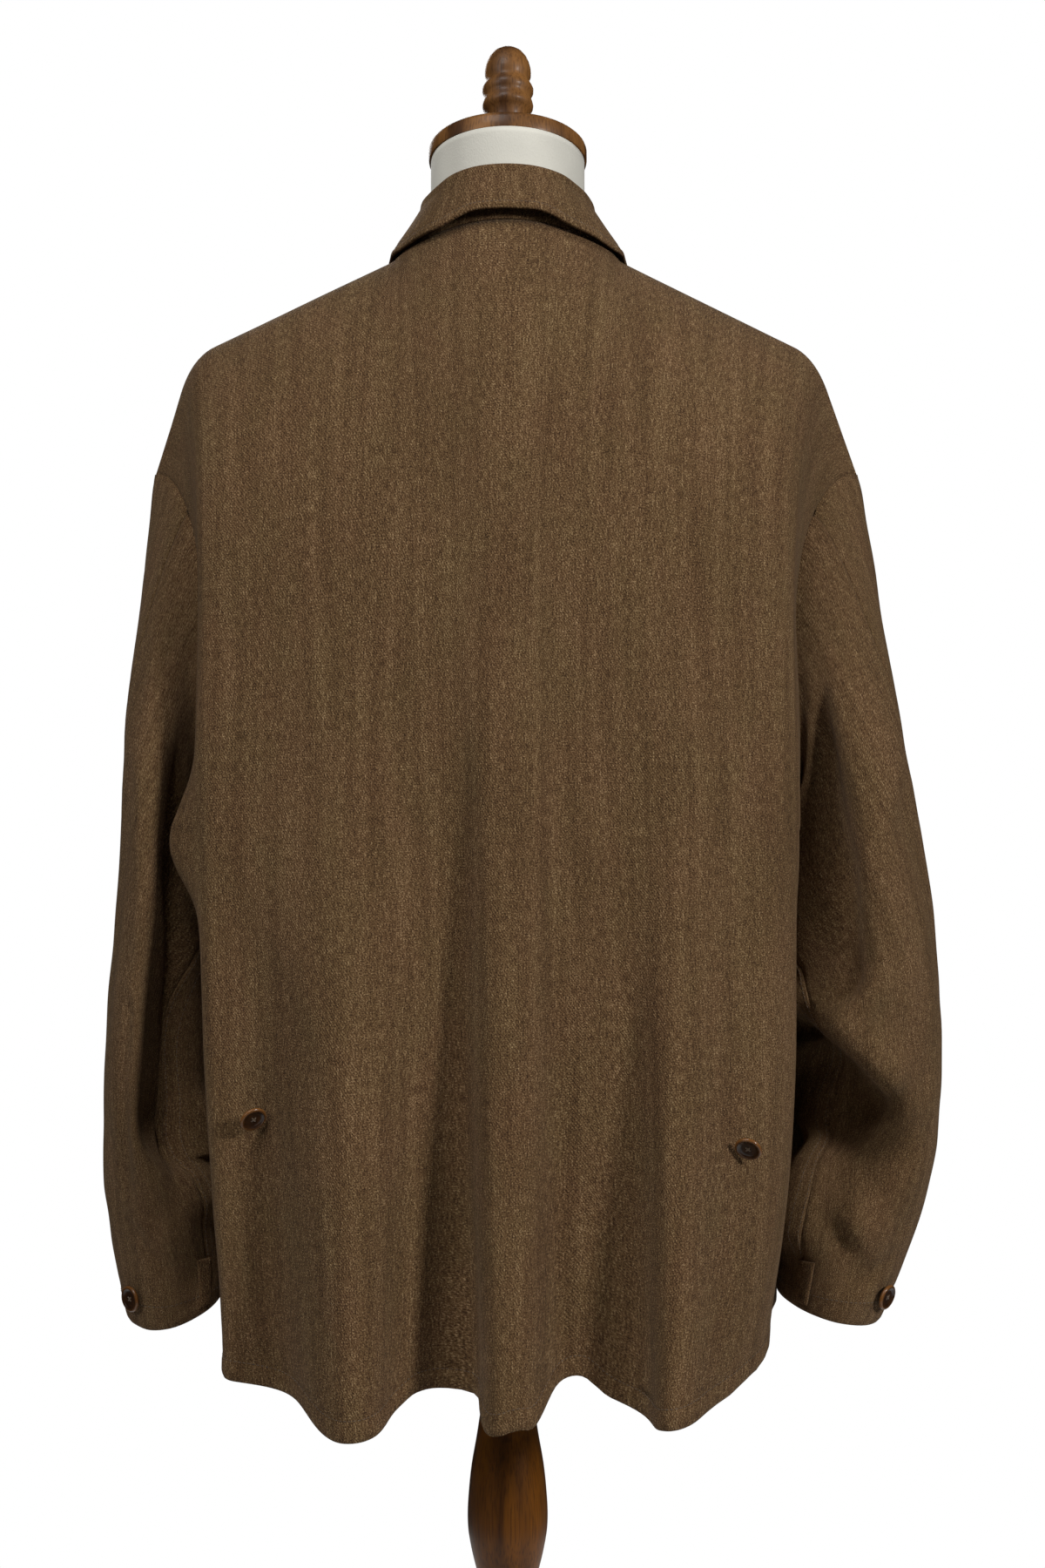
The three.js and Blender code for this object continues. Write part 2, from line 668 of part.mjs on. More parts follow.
/** A patch pocket and its pointed flap, made from a front's points moved out. */
function pocketPanels(sign) {
  const side = sideOf(sign);
  const columns = frontColumns().slice(pocket.columns[0], pocket.columns[1] + 1);
  const front = (across, row) => frontPoint(sign, across, row);
  const moved = (column, row, lift) => {
    const { at, out } = placeOn(front, columns[column], row / rowsBelowArmpit, -sign);
    return at.addScaledVector(out, lift);
  };
  const last = columns.length - 1;
  const [low, high] = pocket.rows;
  const bag = (column, row) => {
    const full = Math.sin((Math.PI * column) / last) * Math.sin((Math.PI * (row - low)) / (high - low));
    return moved(column, row, layerGap + cloth + pocket.belly * full);
  };
  const cover = (column, step) => {
    if (step > flap.rows) return moved(column, flap.seat, layerGap + doubledCloth);
    const share = column / last;
    const down = 1 - step / flap.rows;
    const drop = mix(flap.tipDrop, flap.sideDrop, Math.abs(2 * share - 1)) * down;
    const lift = flap.clear + (flap.fall + flap.proud * (1 - share) ** 3) * down;
    return moved(column, flap.bend - drop, layerGap + doubledCloth + lift);
  };
  const places = columns.map((_, i) => i);
  return {
    bag: panel("pocket_" + side, bag, places, spaced(low, high, high - low), -sign),
    cover: panel("pocket_flap_" + side, cover, places, spaced(0, flap.rows + 1, flap.rows + 1), -sign),
  };
}

/** A round button with a raised rim on its thread shank, standing along +Z. */
function buttonGeometry(shank) {
  const profile = [
    [0, 0],
    [1.5, 0],
    [1.5, shank],
    [buttonRadius - 1.2, shank],
    [buttonRadius, shank + 1.2],
    [buttonRadius - 0.6, shank + 3],
    [buttonRadius - 2, shank + 3],
    [buttonRadius - 2.8, shank + 2.2],
    [0, shank + 2.2],
  ].map(([radius, height]) => new THREE.Vector2(radius, height));
  return new THREE.LatheGeometry(profile, 12).rotateX(Math.PI / 2);
}

/** Sews a button to a place on the cloth, tipped downwards and turned a little where it droops. */
function addButton(name, { at, out }, droop = null) {
  const shank = droop ? drooping.shank : buttonShank;
  const tilt = THREE.MathUtils.degToRad(droop ? drooping.tilt : 0);
  const stand = layerGap + 1.5 * Math.sin(tilt);
  const button = add(name, solid(buttonGeometry(shank)), "horn");
  const sideways = point(0, 0, 1).cross(out).normalize();
  if (droop) sideways.applyAxisAngle(out, THREE.MathUtils.degToRad(droop.roll));
  const facing = out.clone().applyAxisAngle(sideways, tilt);
  button.position.copy(at).addScaledVector(out, stand);
  button.quaternion.setFromUnitVectors(point(0, 0, 1), facing);
}

/** A geometry with its shared points merged, ready to be one closed solid. */
function solid(geometry) {
  const bare = new THREE.BufferGeometry();
  bare.setAttribute("position", geometry.getAttribute("position"));
  bare.setIndex(geometry.getIndex());
  return mergeVertices(bare, 1e-3);
}

/** The strip that edges the slit of a cuff, on the inner seam. */
function cuffPlacket(sign) {
  const surface = (angle, t) => sleevePoint(sign, t, angle);
  const strip = (angle, t) => {
    const { at, out } = placeOn(surface, angle, t, -sign, 0.02, 0.01);
    return at.addScaledVector(out, placket.lift + cloth);
  };
  const angles = spaced(Math.PI - placket.behind, Math.PI + placket.ahead, 2);
  const name = "cuff_placket_" + sideOf(sign);
  return panel(name, strip, angles, spaced(placket.from, placket.to, placket.rows), -sign);
}

/** All the cloth pieces of the jacket. */
function addJacket() {
  const panels = sewnPanels();
  const collar = collarPanels();
  matchSeams([...panels, collar.stand]);
  for (const sewn of [...panels, collar.stand]) {
    add(sewn.name, wall(drawIn(sewn), sewn.directions, cloth, sewn.outward), "serge");
  }
  const doubled = [collar.fall];
  for (const sign of [1, -1]) {
    const { bag, cover } = pocketPanels(sign);
    const placket = cuffPlacket(sign);
    add(bag.name, wall(bag.grid, bag.directions, cloth, bag.outward), "serge");
    add(placket.name, wall(placket.grid, placket.directions, cloth, placket.outward), "serge");
    doubled.push(cover);
  }
  for (const layer of doubled) {
    add(layer.name, wall(layer.grid, layer.directions, doubledCloth, layer.outward), "serge");
  }
}

const frontButtonHeights = spaced(1374, 822, 4);
const backButtons = table("across z roll", [
  [0.607, 884, -16],
  [-0.566, 867, 12],
]);
const cuffButton = { t: 0.955, left: 56, right: 52 };

/** The row at which a column of the body passes a height. */
function rowAtHeight(surface, across, z) {
  let [low, high] = [0, topRow];
  for (let i = 0; i < 30; i += 1) {
    const middle = (low + high) / 2;
    if (surface(across, middle).z < z) low = middle;
    else high = middle;
  }
  return low;
}

/** Buttons of the front, the back and the cuffs. */
function addButtons() {
  const left = (across, row) => frontPoint(1, across, row);
  frontButtonHeights.forEach((z, i) => {
    addButton("button_front_" + (i + 1), placeOn(left, 1, rowAtHeight(left, 1, z), -1));
  });
  for (const { across, z, roll } of backButtons) {
    const place = placeOn(backPoint, across, rowAtHeight(backPoint, across, z), -1);
    addButton("button_back_" + sideOf(across), place, { roll });
  }
  for (const sign of [1, -1]) {
    const surface = (angle, t) => sleevePoint(sign, t, angle);
    const angle = THREE.MathUtils.degToRad(cuffButton[sideOf(sign)] + seamTwist);
    addButton("button_cuff_" + sideOf(sign), placeOn(surface, angle, cuffButton.t, -sign, 0.02, 0.01));
  }
}

// The dress form's cross sections below the blades
const formSections = table("z half back front", [
  [formBottom, 146, 84, 84],
  [800, 153, 91, 88],
  [860, 160, 100, 94],
  [950, 152, 95, 93],
  [1020, 144, 88, 94],
  [1100, 150, 92, 100],
  [1200, 168, 96, 104],
]);
const formQuarter = 7;
const formNeckColumns = 4;
const formNeck = { half: 60, back: 56, front: 54, backZ: 1452, sideZ: 1453, frontZ: 1428 };

/** The form's shoulder line, inside the jacket's by the cloth and a small clearance. */
function formShoulder(sign, share) {
  const at = shoulderLine(sign, share * 0.86);
  const ahead = shoulderLine(sign, share * 0.86 + 0.02);
  const along = ahead.sub(at).normalize();
  const inward = point(sign * along.z, 0, -sign * along.x).multiplyScalar(sign);
  if (inward.z > 0) inward.negate();
  return at.addScaledVector(inward, cloth + formClearance);
}

/** The form's face: a quarter share from the middle to the side, on one of its four quarters. */
function formPoint(sign, facing, share, up) {
  const z = up <= 1 ? mix(formBottom, bladeHeight, up) : bladeHeight;
  const angle = (share * Math.PI) / 2;
  const half = read(formSections, "z", z, "half");
  const deep = read(formSections, "z", z, facing > 0 ? "back" : "front");
  const below = point(
    sign * half * Math.sin(angle) ** 0.86,
    facing * deep * Math.cos(angle) ** 0.86,
    z,
  );
  if (up <= 1) return below;
  const neckShare = formNeckColumns / formQuarter;
  let above;
  if (share <= neckShare) {
    const turn = (share / neckShare) * (Math.PI / 2);
    const middleZ = facing > 0 ? formNeck.backZ : formNeck.frontZ;
    const z1 = mix(middleZ, formNeck.sideZ, Math.sin(turn) ** 2);
    const y = facing * (facing > 0 ? formNeck.back : formNeck.front) * Math.cos(turn);
    above = point(sign * formNeck.half * Math.sin(turn), y, z1);
  } else {
    const along = (share - neckShare) / (1 - neckShare);
    above = formShoulder(sign, along);
  }
  const at = overShoulder(below, above, up - 1, turnTo(backNeckTurn, share / neckShare));
  at.x = mix(below.x, above.x, Math.sin((up - 1) * squareAngle));
  return at;
}

/** A ring of the form, all round from the middle back over the left side. */
function formRing(up) {
  const shares = spaced(0, 1, formQuarter);
  const backLeft = shares.map((s) => formPoint(1, 1, s, up));
  const frontLeft = shares.map((s) => formPoint(1, -1, s, up)).reverse();
  const frontRight = shares.map((s) => formPoint(-1, -1, s, up));
  const backRight = shares.map((s) => formPoint(-1, 1, s, up)).reverse();
  return [
    ...backLeft.slice(0, -1),
    ...frontLeft.slice(0, -1),
    ...frontRight.slice(0, -1),
    ...backRight.slice(0, -1),
  ];
}

/** A ring of the neck: the base of the neck carried up to the tilted top. */
function neckRing(base, up) {
  const centre = point(0, mix(0, neckTopCentre.y, up), 0);
  return base.map((from) => {
    const angle = Math.atan2(from.x, from.y);
    const rim = point(neckRadius.x * Math.sin(angle), neckRadius.y * Math.cos(angle), 0).add(centre);
    const narrowing = THREE.MathUtils.smoothstep(up, 0, 0.35);
    const topZ = neckTopCentre.z + (rim.y - neckTopCentre.y) * Math.tan(neckTilt);
    const at = point(from.x, from.y, 0).lerp(rim, narrowing);
    at.z = mix(from.z, topZ, up);
    return at;
  });
}

/** A closed solid through rings of equal length, with both ends filled. */
function loftedSolid(rings) {
  const faces = [];
  const triangle = (a, b, c) => faces.push(a, b, c);
  const fill = (ring, reversed) => {
    const middle = ring.reduce((sum, p) => sum.add(p), point(0, 0, 0)).divideScalar(ring.length);
    ring.forEach((p, i) => {
      const next = ring[(i + 1) % ring.length];
      if (reversed) triangle(middle, next, p);
      else triangle(middle, p, next);
    });
  };
  rings.slice(1).forEach((ring, k) => {
    const below = rings[k];
    ring.forEach((p, i) => {
      const j = (i + 1) % ring.length;
      triangle(below[i], ring[i], below[j]);
      triangle(below[j], ring[i], ring[j]);
    });
  });
  fill(rings[0], false);
  fill(rings.at(-1), true);
  return faces;
}

/** The form's torso: closed rings, the shoulders where front and back meet, and the neck. */
function torsoGeometry() {
  const levels = [0, 0.05, 0.19, 0.4, 0.57, 0.76, 1, 1.2, 1.4, 1.6, 1.75, 1.88, 2];
  const rings = levels.map(formRing);
  const top = rings.at(-1);
  const neckAt = (i) => {
    const fromMiddle = Math.min(i % (2 * formQuarter), 2 * formQuarter - (i % (2 * formQuarter)));
    return fromMiddle <= formNeckColumns;
  };
  const base = top.filter((_, i) => neckAt(i));
  const neck = [0.2, 0.4, 0.7, 1].map((up) => neckRing(base, up));
  const shell = loftedSolid(rings);
  const withoutTop = shell.slice(0, shell.length - 3 * top.length);
  const neckShell = loftedSolid([base, ...neck]);
  const bottomOfNeck = 2 * 3 * base.length * neck.length;
  const neckFaces = [
    ...neckShell.slice(0, bottomOfNeck),
    ...neckShell.slice(bottomOfNeck + 3 * base.length),
  ];
  const points = [...withoutTop, ...neckFaces];
  const geometry = new THREE.BufferGeometry().setFromPoints(points);
  const merged = mergeVertices(geometry, 1e-3);
  return withoutFlatFaces(merged);
}

/** Drops the faces that collapsed to a line where front and back meet on the shoulder. */
function withoutFlatFaces(geometry) {
  const index = geometry.getIndex().array;
  const kept = [];
  for (let i = 0; i < index.length; i += 3) {
    const [a, b, c] = [index[i], index[i + 1], index[i + 2]];
    if (a !== b && b !== c && c !== a) kept.push(a, b, c);
  }
  geometry.setIndex(kept);
  return geometry;
}

/** A turned solid from a profile of radius and height pairs, lowest first. */
function turned(profile, segments) {
  const outline = profile.map(([radius, height]) => new THREE.Vector2(radius, height));
  return solid(new THREE.LatheGeometry(outline, segments).rotateX(Math.PI / 2));
}

const capProfile = [
  [0, 0],
  [53.5, 0],
  [54.5, 1.5],
  [54.5, 9],
  [52, capThickness],
  [0, capThickness],
];
const finialProfile = [
  [0, 0],
  [17, 0],
  [14.5, 5],
  [12, 14],
  [13.5, 24],
  [17.5, 30],
  [16.3, 38],
  [17.8, 43],
  [15.2, 49],
  [16, 55],
  [15.6, 60],
  [12.6, 68],
  [6.5, 72.5],
  [0, 74],
];
const baseProfile = [
  [0, 0],
  [188, 0],
  [192, 4],
  [192, 16],
  [184, 24],
  [120, 29],
  [44, 34],
  [34, 40],
  [0, 40],
];
const baseTop = baseProfile.at(-1)[1];
const poleProfile = [
  [0, baseTop + 0.3],
  [30, baseTop + 0.3],
  [31, 52],
  [22, 66],
  [19, 110],
  [22, 330],
  [18, 470],
  [24, 486],
  [24, 494],
  [13, 512],
  [14, 530],
  [21.7, 552],
  [26.7, 575],
  [27.6, 588],
  [26.8, 604],
  [24.8, 623],
  [20.8, 646],
  [17, 676],
  [16, 730],
  [24, formBottom - 12],
  [24, formBottom - 0.3],
  [0, formBottom - 0.3],
];

/** The dress form: torso, neck cap, finial, pole and foot. */
function addForm() {
  add("form_torso", torsoGeometry(), "cream");
  const head = new THREE.Group();
  head.position.set(0, neckTopCentre.y, neckTopCentre.z);
  head.rotation.x = neckTilt;
  const cap = new THREE.Mesh(turned(capProfile, 24), finishes.walnut);
  cap.name = "neck_cap";
  cap.position.z = 0.3;
  const finial = new THREE.Mesh(turned(finialProfile, 14), finishes.walnut);
  finial.name = "finial";
  finial.position.z = capThickness + 0.6;
  head.add(cap, finial);
  dressing.add(head);
  add("stand_pole", turned(poleProfile, 16), "walnut");
  add("stand_foot", turned(baseProfile, 32), "walnut");
}

addForm();
addJacket();
addButtons();

export default dressing;
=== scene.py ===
"""Battle dress jacket of brown wool serge, buttoned on a limbless dress form with a turned stand.

The jacket's front faces -Y, the wearer's left is +X and the floor is Z = 0 under the pole. Sizes are
in millimetres and turn into metres where a mesh is made.
"""

import logging
import math
from dataclasses import dataclass, field
from enum import Enum
from typing import Callable, Sequence

import bpy
import numpy as np
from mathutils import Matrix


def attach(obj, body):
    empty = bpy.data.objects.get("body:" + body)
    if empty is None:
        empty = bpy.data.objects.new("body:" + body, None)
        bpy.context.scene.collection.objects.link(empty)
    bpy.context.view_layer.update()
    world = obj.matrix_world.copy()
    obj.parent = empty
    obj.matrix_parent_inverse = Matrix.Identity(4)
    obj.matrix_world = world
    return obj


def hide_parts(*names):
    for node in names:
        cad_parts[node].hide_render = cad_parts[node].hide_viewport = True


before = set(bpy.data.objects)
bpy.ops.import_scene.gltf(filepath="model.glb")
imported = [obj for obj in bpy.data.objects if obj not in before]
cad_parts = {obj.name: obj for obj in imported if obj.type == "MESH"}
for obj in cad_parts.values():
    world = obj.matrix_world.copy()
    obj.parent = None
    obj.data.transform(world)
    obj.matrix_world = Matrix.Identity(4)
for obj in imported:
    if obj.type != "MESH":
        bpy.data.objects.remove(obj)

log = logging.getLogger("jacket")
MM = 0.001
LEFT, RIGHT = 1, -1
Surface = Callable[[np.ndarray, np.ndarray], np.ndarray]


# Maths on arrays of places


def vec(x: np.ndarray, y: np.ndarray, z: np.ndarray) -> np.ndarray:
    """Three arrays of coordinates as one array of points."""
    return np.stack(np.broadcast_arrays(x, y, z), axis=-1).astype(float)


def mix(a: np.ndarray, b: np.ndarray, share: np.ndarray) -> np.ndarray:
    """The value a share of the way from a to b."""
    return a + (b - a) * share


def lerp(a: np.ndarray, b: np.ndarray, share: np.ndarray) -> np.ndarray:
    """Points a share of the way from points a to points b."""
    return a + (b - a) * np.asarray(share)[..., None]


def bell(distance: np.ndarray, spread: float | np.ndarray) -> np.ndarray:
    """A soft bump of height 1."""
    return np.exp(-(distance**2) / (2 * spread**2))


def smoothstep(value: np.ndarray, low: float, high: float) -> np.ndarray:
    """0 below low, 1 above high, with an even S between."""
    s = np.clip((np.asarray(value, float) - low) / (high - low), 0, 1)
    return s * s * (3 - 2 * s)


def unit(vectors: np.ndarray) -> np.ndarray:
    """Vectors at length 1."""
    return vectors / np.maximum(np.linalg.norm(vectors, axis=-1, keepdims=True), 1e-12)


def ripple(x: np.ndarray, y: np.ndarray, seed: int) -> np.ndarray:
    """Smooth random relief between -1 and 1, with one bump for each unit of x and y.

    Args:
        x: Places along the first direction.
        y: Places along the second direction.
        seed: Fixes the pattern.

    Returns:
        The relief's height at each place.
    """
    grid = np.random.default_rng(seed).uniform(-1, 1, (64, 64))
    xi, yi = np.floor(x).astype(int), np.floor(y).astype(int)
    sx, sy = smoothstep(x - xi, 0, 1), smoothstep(y - yi, 0, 1)
    corner = [[grid[(xi + i) % 64, (yi + j) % 64] for j in (0, 1)] for i in (0, 1)]
    return mix(mix(corner[0][0], corner[1][0], sx), mix(corner[0][1], corner[1][1], sx), sy)


class Table:
    """Rows of numbers under named columns, read as smooth curves of the first column."""

    def __init__(self, columns: str, rows: Sequence[Sequence[float]]) -> None:
        """Keeps the rows.

        Args:
            columns: Column names, separated by spaces; the first is the key.
            rows: One row of numbers for each place of the key.
        """
        self.names = columns.split()
        self.rows = np.array(rows, float)

    def column(self, name: str) -> np.ndarray:
        """One whole column."""
        return self.rows[:, self.names.index(name)]

    def read(self, at: np.ndarray, name: str) -> np.ndarray:
        """Reads a column at places of the key.

        Args:
            at: Places of the key column.
            name: The column to read.

        Returns:
            The curve's value at each place.
        """
        key, value = self.rows[:, 0], self.column(name)
        at = np.asarray(at, float)
        last = len(key) - 1
        i = np.clip(np.searchsorted(key, at, side="left") - 1, 0, last - 1)
        before, after = np.maximum(i - 1, 0), np.minimum(i + 2, last)
        step = key[i + 1] - key[i]
        s = np.clip((at - key[i]) / step, 0, 1)
        slope_a = (value[i + 1] - value[before]) / (key[i + 1] - key[before]) * step
        slope_b = (value[after] - value[i]) / (key[after] - key[i]) * step
        s2, s3 = s * s, s * s * s
        smooth = (2 * s3 - 3 * s2 + 1) * value[i] + (s3 - 2 * s2 + s) * slope_a
        return smooth + (3 * s2 - 2 * s3) * value[i + 1] + (s3 - s2) * slope_b

    def side(self, sign: np.ndarray, at: np.ndarray, name: str) -> np.ndarray:
        """Reads the left or the right column of a name, by the sign of the side."""
        return np.where(sign > 0, self.read(at, "left" + name), self.read(at, "right" + name))


# Finishes and their shader nodes


class Shader:
    """Builds one material's nodes around a principled surface."""

    def __init__(self, name: str) -> None:
        """Makes a material with a bare principled surface."""
        self.material = bpy.data.materials.new(name)
        self.material.use_nodes = True
        self.tree = self.material.node_tree
        self.surface = self.tree.nodes["Principled BSDF"]

    def node(self, kind: str, settings: dict | None = None, **inputs: object) -> bpy.types.Node:
        """Adds a node.

        Args:
            kind: The node's type.
            settings: Properties to set on it.
            **inputs: Sockets by name, with _ for a space: another socket to link, or a value.

        Returns:
            The new node.
        """
        made = self.tree.nodes.new(kind)
        for key, value in (settings or {}).items():
            setattr(made, key, value)
        for key, value in inputs.items():
            self.feed(made, key.replace("_", " "), value)
        return made

    def feed(self, node: bpy.types.Node, socket: str | int, value: object) -> None:
        """Links a socket to another one, or sets its value."""
        if isinstance(value, bpy.types.NodeSocket):
            self.tree.links.new(value, node.inputs[socket])
        else:
            node.inputs[socket].default_value = value

    def dress(self, **inputs: object) -> bpy.types.Material:
        """Sets sockets of the surface and gives back the material."""
        for key, value in inputs.items():
            self.feed(self.surface, key.replace("_", " "), value)
        return self.material

    def stretched(self, source: object, scale: Sequence[float], turn: float = 0) -> object:
        """Coordinates scaled and turned about Z."""
        mapping = self.node("ShaderNodeMapping", Vector=source, Scale=scale)
        mapping.inputs["Rotation"].default_value = (0, 0, turn)
        return mapping.outputs["Vector"]

    def noise(self, source: object, scale: float, detail: float = 2, rough: float = 0.5) -> object:
        """A noise pattern's value."""
        made = self.node(
            "ShaderNodeTexNoise", Vector=source, Scale=scale, Detail=detail, Roughness=rough
        )
        return made.outputs["Fac"]

    def math(self, operation: str, a: object, b: object) -> object:
        """One sum on two values."""
        made = self.node("ShaderNodeMath", {"operation": operation})
        self.feed(made, 0, a)
        self.feed(made, 1, b)
        return made.outputs[0]

    def ramp(self, value: object, stops: Sequence[tuple[float, Sequence[float]]]) -> object:
        """A colour ramp over a value."""
        made = self.node("ShaderNodeValToRGB", Fac=value)
        elements = made.color_ramp.elements
        while len(elements) < len(stops):
            elements.new(0.5)
        for element, (place, colour) in zip(elements, stops):
            element.position = place
            element.color = (*colour, 1)
        return made.outputs["Color"]

    def blend(self, kind: str, share: object, a: object, b: object) -> object:
        """Two colours mixed in one way."""
        made = self.node("ShaderNodeMix", {"data_type": "RGBA", "blend_type": kind})
        self.feed(made, "Factor", share)
        for place, value in ((6, a), (7, b)):
            self.feed(made, place, value if isinstance(value, bpy.types.NodeSocket) else (*value, 1))
        return made.outputs[2]

    def bump(self, height: object, distance: float, strength: float = 1) -> object:
        """A bump normal from a height."""
        made = self.node("ShaderNodeBump", Height=height, Distance=distance, Strength=strength)
        return made.outputs["Normal"]


@dataclass(frozen=True)
class WoolSerge:
    """Brown heathered wool serge: mixed yarns, a fine steep twill and a soft nap."""

    dark: tuple[float, float, float] = (0.03, 0.0145, 0.006)
    shaded: tuple[float, float, float] = (0.092, 0.05, 0.021)
    middle: tuple[float, float, float] = (0.139, 0.082, 0.036)
    light: tuple[float, float, float] = (0.32, 0.222, 0.12)
    ruddy: tuple[float, float, float] = (1.0, 0.94, 0.92)
    mossy: tuple[float, float, float] = (0.97, 0.96, 0.9)
    nap: tuple[float, float, float] = (0.75, 0.62, 0.5)
    fleck_mm: float = 0.95
    twill_mm: float = 1.5

    def material(self, name: str) -> bpy.types.Material:
        """The material, laid along the cloth's own UV map in metres."""
        shader = Shader(name)
        cloth = shader.node("ShaderNodeUVMap", {"uv_map": "cloth"}).outputs["UV"]
        fleck = shader.noise(cloth, 1 / (self.fleck_mm * MM), 3, 0.7)
        warp = shader.noise(shader.stretched(cloth, (1000, 150, 1)), 1, 2, 0.6)
        streak = shader.noise(shader.stretched(cloth, (120, 7, 1)), 1, 3, 0.6)
        cloudy = shader.noise(shader.stretched(cloth, (30, 14, 1)), 1, 3, 0.6)
        mixed = shader.math("MULTIPLY", fleck, 0.62)
        mixed = shader.math("ADD", mixed, shader.math("MULTIPLY", warp, 0.26))
        mixed = shader.math("ADD", mixed, shader.math("MULTIPLY", streak, 0.12))
        yarns = shader.ramp(
            mixed, [(0.4, self.dark), (0.48, self.shaded), (0.54, self.middle), (0.62, self.light)]
        )
        tints = shader.ramp(cloudy, [(0.38, self.ruddy), (0.62, self.mossy)])
        yarns = shader.blend("MULTIPLY", 1.0, yarns, tints)
        twill = shader.node(
            "ShaderNodeTexWave",
            {"bands_direction": "X"},
            Vector=shader.stretched(cloth, (1, 1, 1), math.radians(33)),
            Scale=2 * math.pi / (20 * self.twill_mm * MM),
            Distortion=1.6,
            Detail=1.0,
        ).outputs["Fac"]
        relief = shader.math("ADD", shader.math("MULTIPLY", twill, 0.35), fleck)
        return shader.dress(
            Base_Color=yarns,
            Roughness=0.94,
            Sheen_Weight=0.05,
            Sheen_Roughness=0.45,
            Sheen_Tint=(*self.nap, 1),
            Specular_IOR_Level=0.18,
            Normal=shader.bump(relief, 0.0011, 0.75),
        )


@dataclass(frozen=True)
class Thread:
    """Twisted sewing thread a little lighter than the serge."""

    colour: tuple[float, float, float] = (0.125, 0.077, 0.04)

    def material(self, name: str) -> bpy.types.Material:
        """The material, with a fine twist."""
        shader = Shader(name)
        place = shader.node("ShaderNodeTexCoord").outputs["Object"]
        twist = shader.noise(place, 2600, 1)
        darker = tuple(value * 0.45 for value in self.colour)
        colour = shader.ramp(twist, [(0.35, darker), (0.65, self.colour)])
        return shader.dress(
            Base_Color=colour, Roughness=0.7, Sheen_Weight=0.2, Normal=shader.bump(twist, 0.0002)
        )


@dataclass(frozen=True)
class StainedWood:
    """Turned wood under a satin stain, with its grain along Z."""

    deep: tuple[float, float, float] = (0.04, 0.012, 0.001)
    warm: tuple[float, float, float] = (0.17, 0.056, 0.002)
    gloss: float = 0.34

    def material(self, name: str) -> bpy.types.Material:
        """The material, on object coordinates."""
        shader = Shader(name)
        place = shader.node("ShaderNodeTexCoord").outputs["Object"]
        grain = shader.noise(shader.stretched(place, (60, 60, 5)), 1, 5, 0.6)
        pores = shader.noise(shader.stretched(place, (900, 900, 28)), 1, 2, 0.5)
        rings = shader.node(
            "ShaderNodeTexWave",
            {"bands_direction": "X"},
            Vector=shader.stretched(place, (1, 1, 0.12)),
            Scale=9.0,
            Distortion=4.0,
            Detail=3.0,
            Detail_Scale=1.6,
        ).outputs["Fac"]
        tone = shader.math("ADD", shader.math("MULTIPLY", grain, 0.84), shader.math("MULTIPLY", rings, 0.16))
        colour = shader.ramp(tone, [(0.34, self.deep), (0.66, self.warm)])
        pore = shader.ramp(pores, [(0.36, (0.45, 0.42, 0.4)), (0.5, (1, 1, 1))])
        return shader.dress(
            Base_Color=shader.blend("MULTIPLY", 0.7, colour, pore),
            Roughness=shader.node("ShaderNodeMapRange", Value=grain, To_Min=self.gloss, To_Max=self.gloss + 0.16).outputs[0],
            Specular_IOR_Level=0.22,
            Coat_Weight=0.06,
            Coat_Roughness=0.22,
            Normal=shader.bump(pores, 0.00012, 0.4),
        )


@dataclass(frozen=True)
class CreamJersey:
    """Cream cotton cover drawn over the form."""

    colour: tuple[float, float, float] = (0.6, 0.58, 0.51)

    def material(self, name: str) -> bpy.types.Material:
        """The material, on object coordinates."""
        shader = Shader(name)
        place = shader.node("ShaderNodeTexCoord").outputs["Object"]
        knit = shader.noise(shader.stretched(place, (1300, 1300, 700)), 1, 2)
        cloudy = shader.noise(place, 22, 3)
        darker = tuple(value * 0.9 for value in self.colour)
        colour = shader.ramp(cloudy, [(0.35, darker), (0.65, self.colour)])
        return shader.dress(
            Base_Color=colour, Roughness=0.88, Sheen_Weight=0.15, Normal=shader.bump(knit, 0.0004, 0.6)
        )


@dataclass(frozen=True)
class BrownHorn:
    """Polished dark brown buttons whose rim, by the attribute edge, is painted lighter amber all round: partly the
    horn's own colour, partly a painted highlight for the light the raised rim catches.
    """

    deep: tuple[float, float, float] = (0.017, 0.006, 0.002)
    # The rim's lighter amber: partly its own colour, partly a painted highlight.
    rim_amber_and_highlight: tuple[float, float, float] = (0.15, 0.06, 0.015)

    def material(self, name: str) -> bpy.types.Material:
        """The material, mottled and glossy."""
        shader = Shader(name)
        place = shader.node("ShaderNodeTexCoord").outputs["Object"]
        cloudy = shader.noise(place, 260, 4, 0.6)
        # The edge attribute lifts the rim towards amber, as a painted highlight on the raised rim mixed with the horn's
        # own lighter edge.
        edge = shader.node("ShaderNodeAttribute", {"attribute_name": "edge"}).outputs["Fac"]
        tone = shader.math("ADD", shader.math("MULTIPLY", edge, 0.75), shader.math("MULTIPLY", cloudy, 0.45))
        colour = shader.ramp(tone, [(0.2, self.deep), (0.95, self.rim_amber_and_highlight)])
        return shader.dress(Base_Color=colour, Roughness=0.3, Specular_IOR_Level=0.3, Coat_Weight=0.1)


class Finish(Enum):
    """The finishes, each with its record slot and its recipe."""

    SERGE = ("serge", WoolSerge())
    THREAD = ("serge", Thread())
    STAND_WOOD = ("stand_wood", StainedWood())
    CAP_WOOD = ("cap_wood", StainedWood((0.06, 0.023, 0.006), (0.215, 0.093, 0.024), 0.45))
    COVER = ("form_cover", CreamJersey())
    BUTTON = ("button", BrownHorn())

    def made(self) -> bpy.types.Material:
        """The finish's material, made once."""
        name = "mat_" + self.name.lower()
        return bpy.data.materials.get(name) or self.value[1].material(name)


# Meshes


